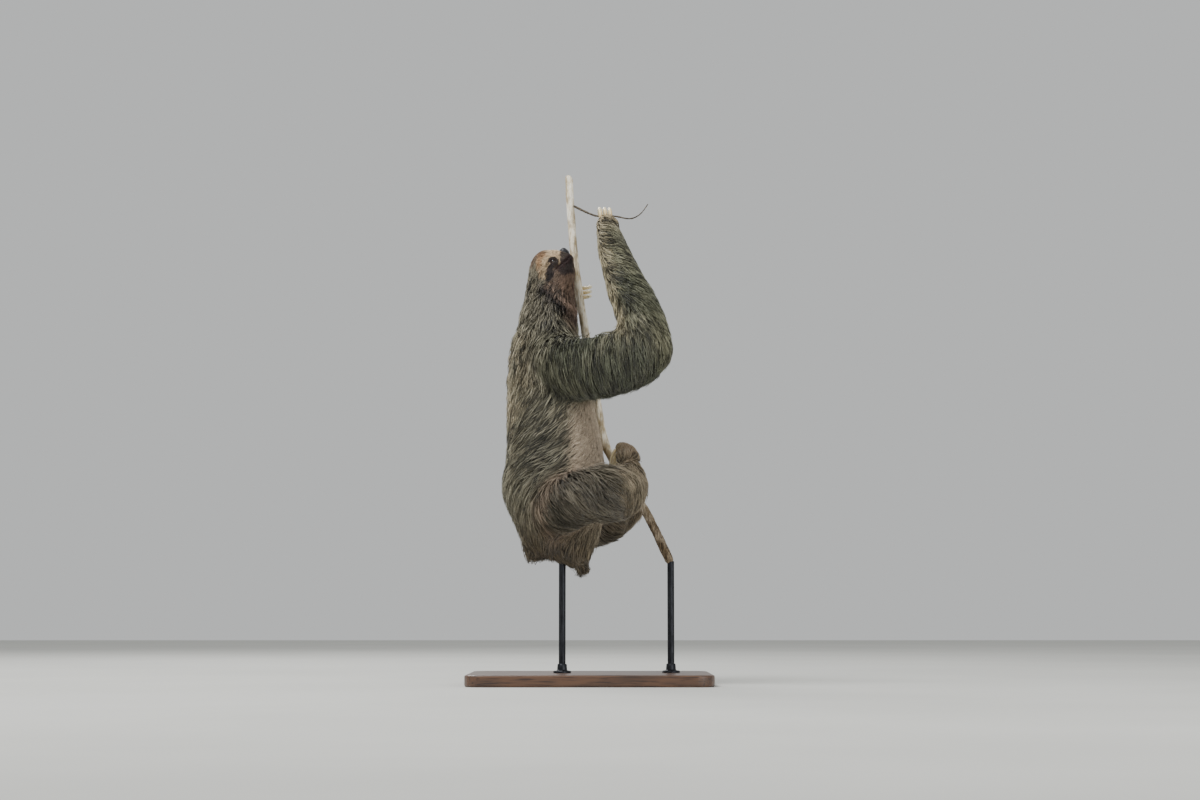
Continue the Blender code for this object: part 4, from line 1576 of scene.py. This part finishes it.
@dataclass
class Eyes:
    """Two round dark eyes with a domed cornea, set behind the lids."""

    head: HeadPlace
    material: bpy.types.Material

    def build(self) -> None:
        """Make both eyes."""
        for side in Side:
            turned = np.array((1.0, 1.0, side.value))
            centre = self.head.world(np.array(FACE.eye) * turned)
            look = np.array(FACE.look) * turned @ self.head.axes
            look /= np.linalg.norm(look)
            deselect()
            bpy.ops.mesh.primitive_uv_sphere_add(
                segments=48, ring_count=32, radius=FACE.eye_radius
            )
            eye = bpy.context.view_layer.objects.active
            eye.name = eye.data.name = f"eyeball_{side.word}"
            points = points_of(eye.data)
            turn = np.clip(points @ look / FACE.eye_radius, -1, 1)
            angle = np.arccos(turn) / math.pi
            cornea = 0.07 * ease(0.30, 0.05, angle)
            move_points(eye.data, points * (1 + cornea)[:, None] + centre)
            store_floats(eye.data, "eye_angle", angle)
            shade_round(eye)
            finish_piece(eye, self.material, (f"eye_{side.word}",))


@dataclass
class Nose:
    """The bare nose, with two comma-shaped nostrils."""

    head: HeadPlace
    material: bpy.types.Material
    place: tuple[float, float, float] = (0.0430, 0.0050, 0.0)
    half: tuple[float, float, float] = (0.0070, 0.0082, 0.0106)

    def build(self) -> None:
        """Make the nose as a rounded block, square to the muzzle."""
        deselect()
        bpy.ops.mesh.primitive_uv_sphere_add(segments=56, ring_count=40, radius=1.0)
        nose = bpy.context.view_layer.objects.active
        nose.name = nose.data.name = "nose_pad"
        mesh = nose.data
        ball = points_of(mesh)
        square = 1.0 + 0.16 * (1 - np.abs(ball).max(1)) / (1 - 1 / math.sqrt(3))
        local = ball * square[:, None] * np.array(self.half) + np.array(self.place)
        folded = FACE.mirrored_local(local)
        front = ease(-0.2, 0.5, ball[:, 0])
        pit = segment_gap(folded[:, 1:], (0.0050, 0.0018), (0.0068, 0.0052))
        slit = bell(folded[:, 2], 0.0008) * ease(0.0069, 0.0019, folded[:, 1])
        rim = bell(pit - 0.0022, 0.0010)
        depth = 0.0030 * bell(pit, 0.0012) + 0.0008 * slit - 0.0004 * rim
        local[:, 0] -= depth * front
        move_points(mesh, self.head.world(local))
        shade_round(nose)
        finish_piece(nose, self.material, ("nose",))


@dataclass
class Claws:
    """Long hooked claws, three to each hand and foot, worn at the tips.

    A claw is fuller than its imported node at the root, by full_mm, and less so where it is worn.
    """

    hand_horn: bpy.types.Material
    foot_horn: bpy.types.Material
    worn: float = 0.0005
    ripple: float = 0.00018
    walk_steps: int = 120
    full_mm: dict[str, float] = field(
        default_factory=lambda: {
            "hand_right": 0.8,
            "hand_left": 1.1,
            "foot_right": 0.6,
            "foot_left": 0.6,
        }
    )

    def build(self) -> None:
        """Make all twelve claws."""
        for end, horn in (("hand", self.hand_horn), ("foot", self.foot_horn)):
            for side in Side:
                for number in (1, 2, 3):
                    self.one(f"{end}_{side.word}", number, horn)

    def one(self, limb: str, number: int, horn: bpy.types.Material) -> None:
        """Make one claw.

        Args:
            limb: The hand or foot that it grows from.
            number: Which toe it is on.
            horn: What it is made of.
        """
        node = f"claw_{limb}_{number}"
        claw = copy_nodes([node], f"claw_horn_{limb}_{number}")
        apply_step(claw, "SUBSURF", {"levels": 2, "render_levels": 2})
        mesh = claw.data
        points = points_of(mesh)
        edges = edges_of(mesh)
        spans = np.linalg.norm(points[edges[:, 0]] - points[edges[:, 1]], axis=1)
        walk = np.full(len(points), 9.0)
        walk[np.linalg.norm(points - middle_of(limb), axis=1).argmin()] = 0.0
        for _ in range(self.walk_steps):
            np.minimum.at(walk, edges[:, 0], walk[edges[:, 1]] + spans)
            np.minimum.at(walk, edges[:, 1], walk[edges[:, 0]] + spans)
        along = walk / walk.max()
        ripple = waves(np.stack([walk, points[:, 1] * 0.2, points[:, 2] * 0.2], 1), 0.005, 31)
        full = self.full_mm[limb] * MM * ease(0.95, 0.45, along)
        swell = full - self.worn * ease(0.7, 1.0, along) + self.ripple * ripple * (1 - along)
        move_points(mesh, points + normals_of(mesh) * swell[:, None])
        store_floats(mesh, "claw_along", along)
        shade_round(claw)
        finish_piece(claw, horn, (node,))


# ---------------------------------------------------------------- vine and stand


@dataclass
class Perch:
    """The cut length of vine and its twig, which the claws hold."""

    bark: bpy.types.Material
    twig: bpy.types.Material
    end_grain: bpy.types.Material
    end_depth: float = 0.0022

    def build(self) -> None:
        """Make the vine and the twig."""
        self.stem("perch_vine", "vine_stem", self.bark, 0.0012, 0.0009, 0.0002)
        self.stem("perch_twig", "vine_twig", self.twig, 0.0006, 0.0004, -0.0010)

    def stem(
        self,
        node: str,
        name: str,
        bark: bpy.types.Material,
        voxel: float,
        rough: float,
        fuller: float,
    ) -> None:
        """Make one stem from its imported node.

        Args:
            node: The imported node.
            name: The piece's name.
            bark: Its bark.
            voxel: The size of its finest form, in metres.
            rough: How deep its lumps are, in metres.
            fuller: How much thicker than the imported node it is, on each side.
        """
        stem = copy_nodes([node], name)
        apply_step(stem, "SUBSURF", {"levels": 2, "render_levels": 2})
        remesh(stem, voxel * (1))
        mesh = stem.data
        points = points_of(mesh)
        edges = edges_of(mesh)
        points = spread_values(points, edges, 4)
        normals = spread_values(normals_of(mesh), edges, 3)
        lumps = waves(points * np.array([1, 1, 0.35]), 0.010, 41)
        fibres = waves(points * np.array([1, 1, 0.12]), 0.004, 42)
        knots = waves(points * np.array([0, 0, 1]), 0.06, 43)
        swell = fuller + rough * (0.5 * lumps + 0.35 * fibres + 0.5 * ease(0.9, 1.7, knots))
        move_points(mesh, points + normals * swell[:, None])
        mesh.materials.append(bark)
        mesh.materials.append(self.end_grain)
        low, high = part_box(node)
        for face in mesh.polygons:
            end = min(high.z - face.center.z, face.center.z - low.z) < self.end_depth
            face.material_index = int(end and abs(face.normal.z) > 0.8 and node == "perch_vine")
        shade_round(stem)
        finish_piece(stem, bark, (node,))


@dataclass
class Stand:
    """The display stand: a bevelled hardwood board and two turned steel rods.

    Foot is the outline of a rod's turned foot, as distances out from the rod and up from the board.
    """

    wood: bpy.types.Material
    steel: bpy.types.Material
    foot_height: float = 0.0156
    round_off: float = 0.0012
    foot: tuple[tuple[float, float], ...] = (
        (0.0, -0.002),
        (0.0155, -0.002),
        (0.0155, 0.0022),
        (0.0146, 0.0034),
        (0.0100, 0.0040),
        (0.0088, 0.0052),
        (0.0082, 0.0140),
        (0.0074, 0.0152),
    )

    def build(self) -> None:
        """Make the board and the rods."""
        self.board()
        self.rod("stand_rod_rump", 0.030)
        self.rod("stand_rod_vine", 0.004)

    def board(self) -> None:
        """Make the board, with a rounded edge."""
        board = copy_nodes(["stand_base"], "stand_board")
        with editing(board):
            bpy.ops.mesh.dissolve_limited(angle_limit=math.radians(1))
            bpy.ops.mesh.select_all(action="SELECT")
            bpy.ops.mesh.bevel(offset=0.0035, segments=4, affect="EDGES", clamp_overlap=True)
        bpy.ops.object.shade_smooth_by_angle(angle=math.radians(35))
        finish_piece(board, self.wood, ("stand_base",))

    def rod(self, node: str, extra: float) -> None:
        """Make one rod with a turned foot that stands on the board.

        Args:
            node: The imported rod.
            extra: How much further up it runs, into the coat or the vine.
        """
        low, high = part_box(node)
        x, y = (low.x + high.x) / 2, (low.y + high.y) / 2
        floor = low.z
        top = high.z + extra
        radius = (high.x - low.x) / 2
        outline = [(out, floor + height) for out, height in self.foot]
        outline += [
            (radius, floor + self.foot_height),
            (radius, top - self.round_off),
            (radius - self.round_off, top),
            (0.0, top),
        ]
        mesh = bpy.data.meshes.new(node + "_turned")
        mesh.from_pydata(
            [(x + out, y, height) for out, height in outline],
            [(one, one + 1) for one in range(len(outline) - 1)],
            [],
        )
        rod = new_object(node + "_turned", mesh)
        with editing(rod):
            bpy.ops.mesh.spin(steps=48, angle=2 * math.pi, center=(x, y, 0), axis=(0, 0, 1))
            bpy.ops.mesh.select_all(action="SELECT")
            bpy.ops.mesh.remove_doubles(threshold=WELD)
            bpy.ops.mesh.normals_make_consistent(inside=False)
        bpy.ops.object.shade_smooth_by_angle(angle=math.radians(30))
        finish_piece(rod, self.steel, (node,))


# ---------------------------------------------------------------- studio


@dataclass
class Studio:
    """A pale paper floor, soft lights and the camera."""

    paper: bpy.types.Material
    eye_point: tuple[float, float, float] = (0.0175, -4.0, 0.12)
    aim: tuple[float, float, float] = (0.0175, 0.0, 0.4945)
    lens: float = 68.87
    lamp_aim: tuple[float, float, float] = (0.0, 0.0, 0.5)

    def build(self) -> None:
        """Make the floor, the lights, the sky and the camera."""
        deselect()
        bpy.ops.mesh.primitive_plane_add(size=14, location=(0, 0, 0))
        floor = bpy.context.view_layer.objects.active
        floor.name = "studio_floor"
        floor.data.materials.append(self.paper)
        self.lamp("key_light", (-1.3, -1.5, 3.1), 104, 1.5)
        self.lamp("fill_light", (2.0, -2.4, 1.0), 30, 2.0)
        self.lamp("rim_light", (-1.2, 2.2, 2.6), 60, 1.4)
        world = bpy.data.worlds.new("studio_air")
        world.use_nodes = True
        sky = world.node_tree.nodes["Background"]
        sky.inputs["Color"].default_value = linear("#e4e6e6")
        sky.inputs["Strength"].default_value = 0.75
        bpy.context.scene.world = world
        lens = bpy.data.cameras.new("camera")
        lens.sensor_width = 36
        lens.lens = self.lens
        bpy.context.scene.camera = self.place("camera", lens, self.eye_point, self.aim)

    def place(self, name: str, data: bpy.types.ID, place: tuple, aim: tuple) -> bpy.types.Object:
        """Stand a lamp or the camera somewhere and turn it to face a point."""
        made = new_object(name, data)
        made.location = place
        made.rotation_mode = "QUATERNION"
        made.rotation_quaternion = (Vector(aim) - Vector(place)).to_track_quat("-Z", "Y")
        return made

    def lamp(self, name: str, place: tuple[float, float, float], power: float, size: float) -> None:
        """Make one soft light that faces the animal.

        Args:
            name: Its name.
            place: Where it stands.
            power: Its power, in watts.
            size: The width of its panel, in metres.
        """
        data = bpy.data.lights.new(name, "AREA")
        data.energy = power
        data.size = size
        self.place(name, data, place, self.lamp_aim)


def main() -> None:
    """Build the model piece by piece, then the studio round it."""
    logging.basicConfig(level=logging.INFO, format="%(name)s %(message)s")
    head = HeadPlace()
    skin = Skin(head, Markings(head), Hide().build())
    skin.build()
    Coat(skin, GuardHair().build()).build()
    Eyes(head, WetEye().build()).build()
    Nose(head, NoseLeather().build()).build()
    Claws(
        ClawHorn("hand_claw_horn", "#8f7750", "#dcc797", "#f4e9c8").build(),
        # Foot claw horn is paler than the hand's: partly painted light, as the foot claws sit in dim
        # light.
        ClawHorn("foot_claw_horn", "#d2b27a", "#f5e3b4", "#fbf3da").build(),
    ).build()
    Perch(VineBark().build(), TwigBark().build(), CutWood().build()).build()
    Stand(StainedBoard().build(), BlackSteel().build()).build()
    Studio(StudioPaper().build()).build()


if __name__ == "__main__":
    main()
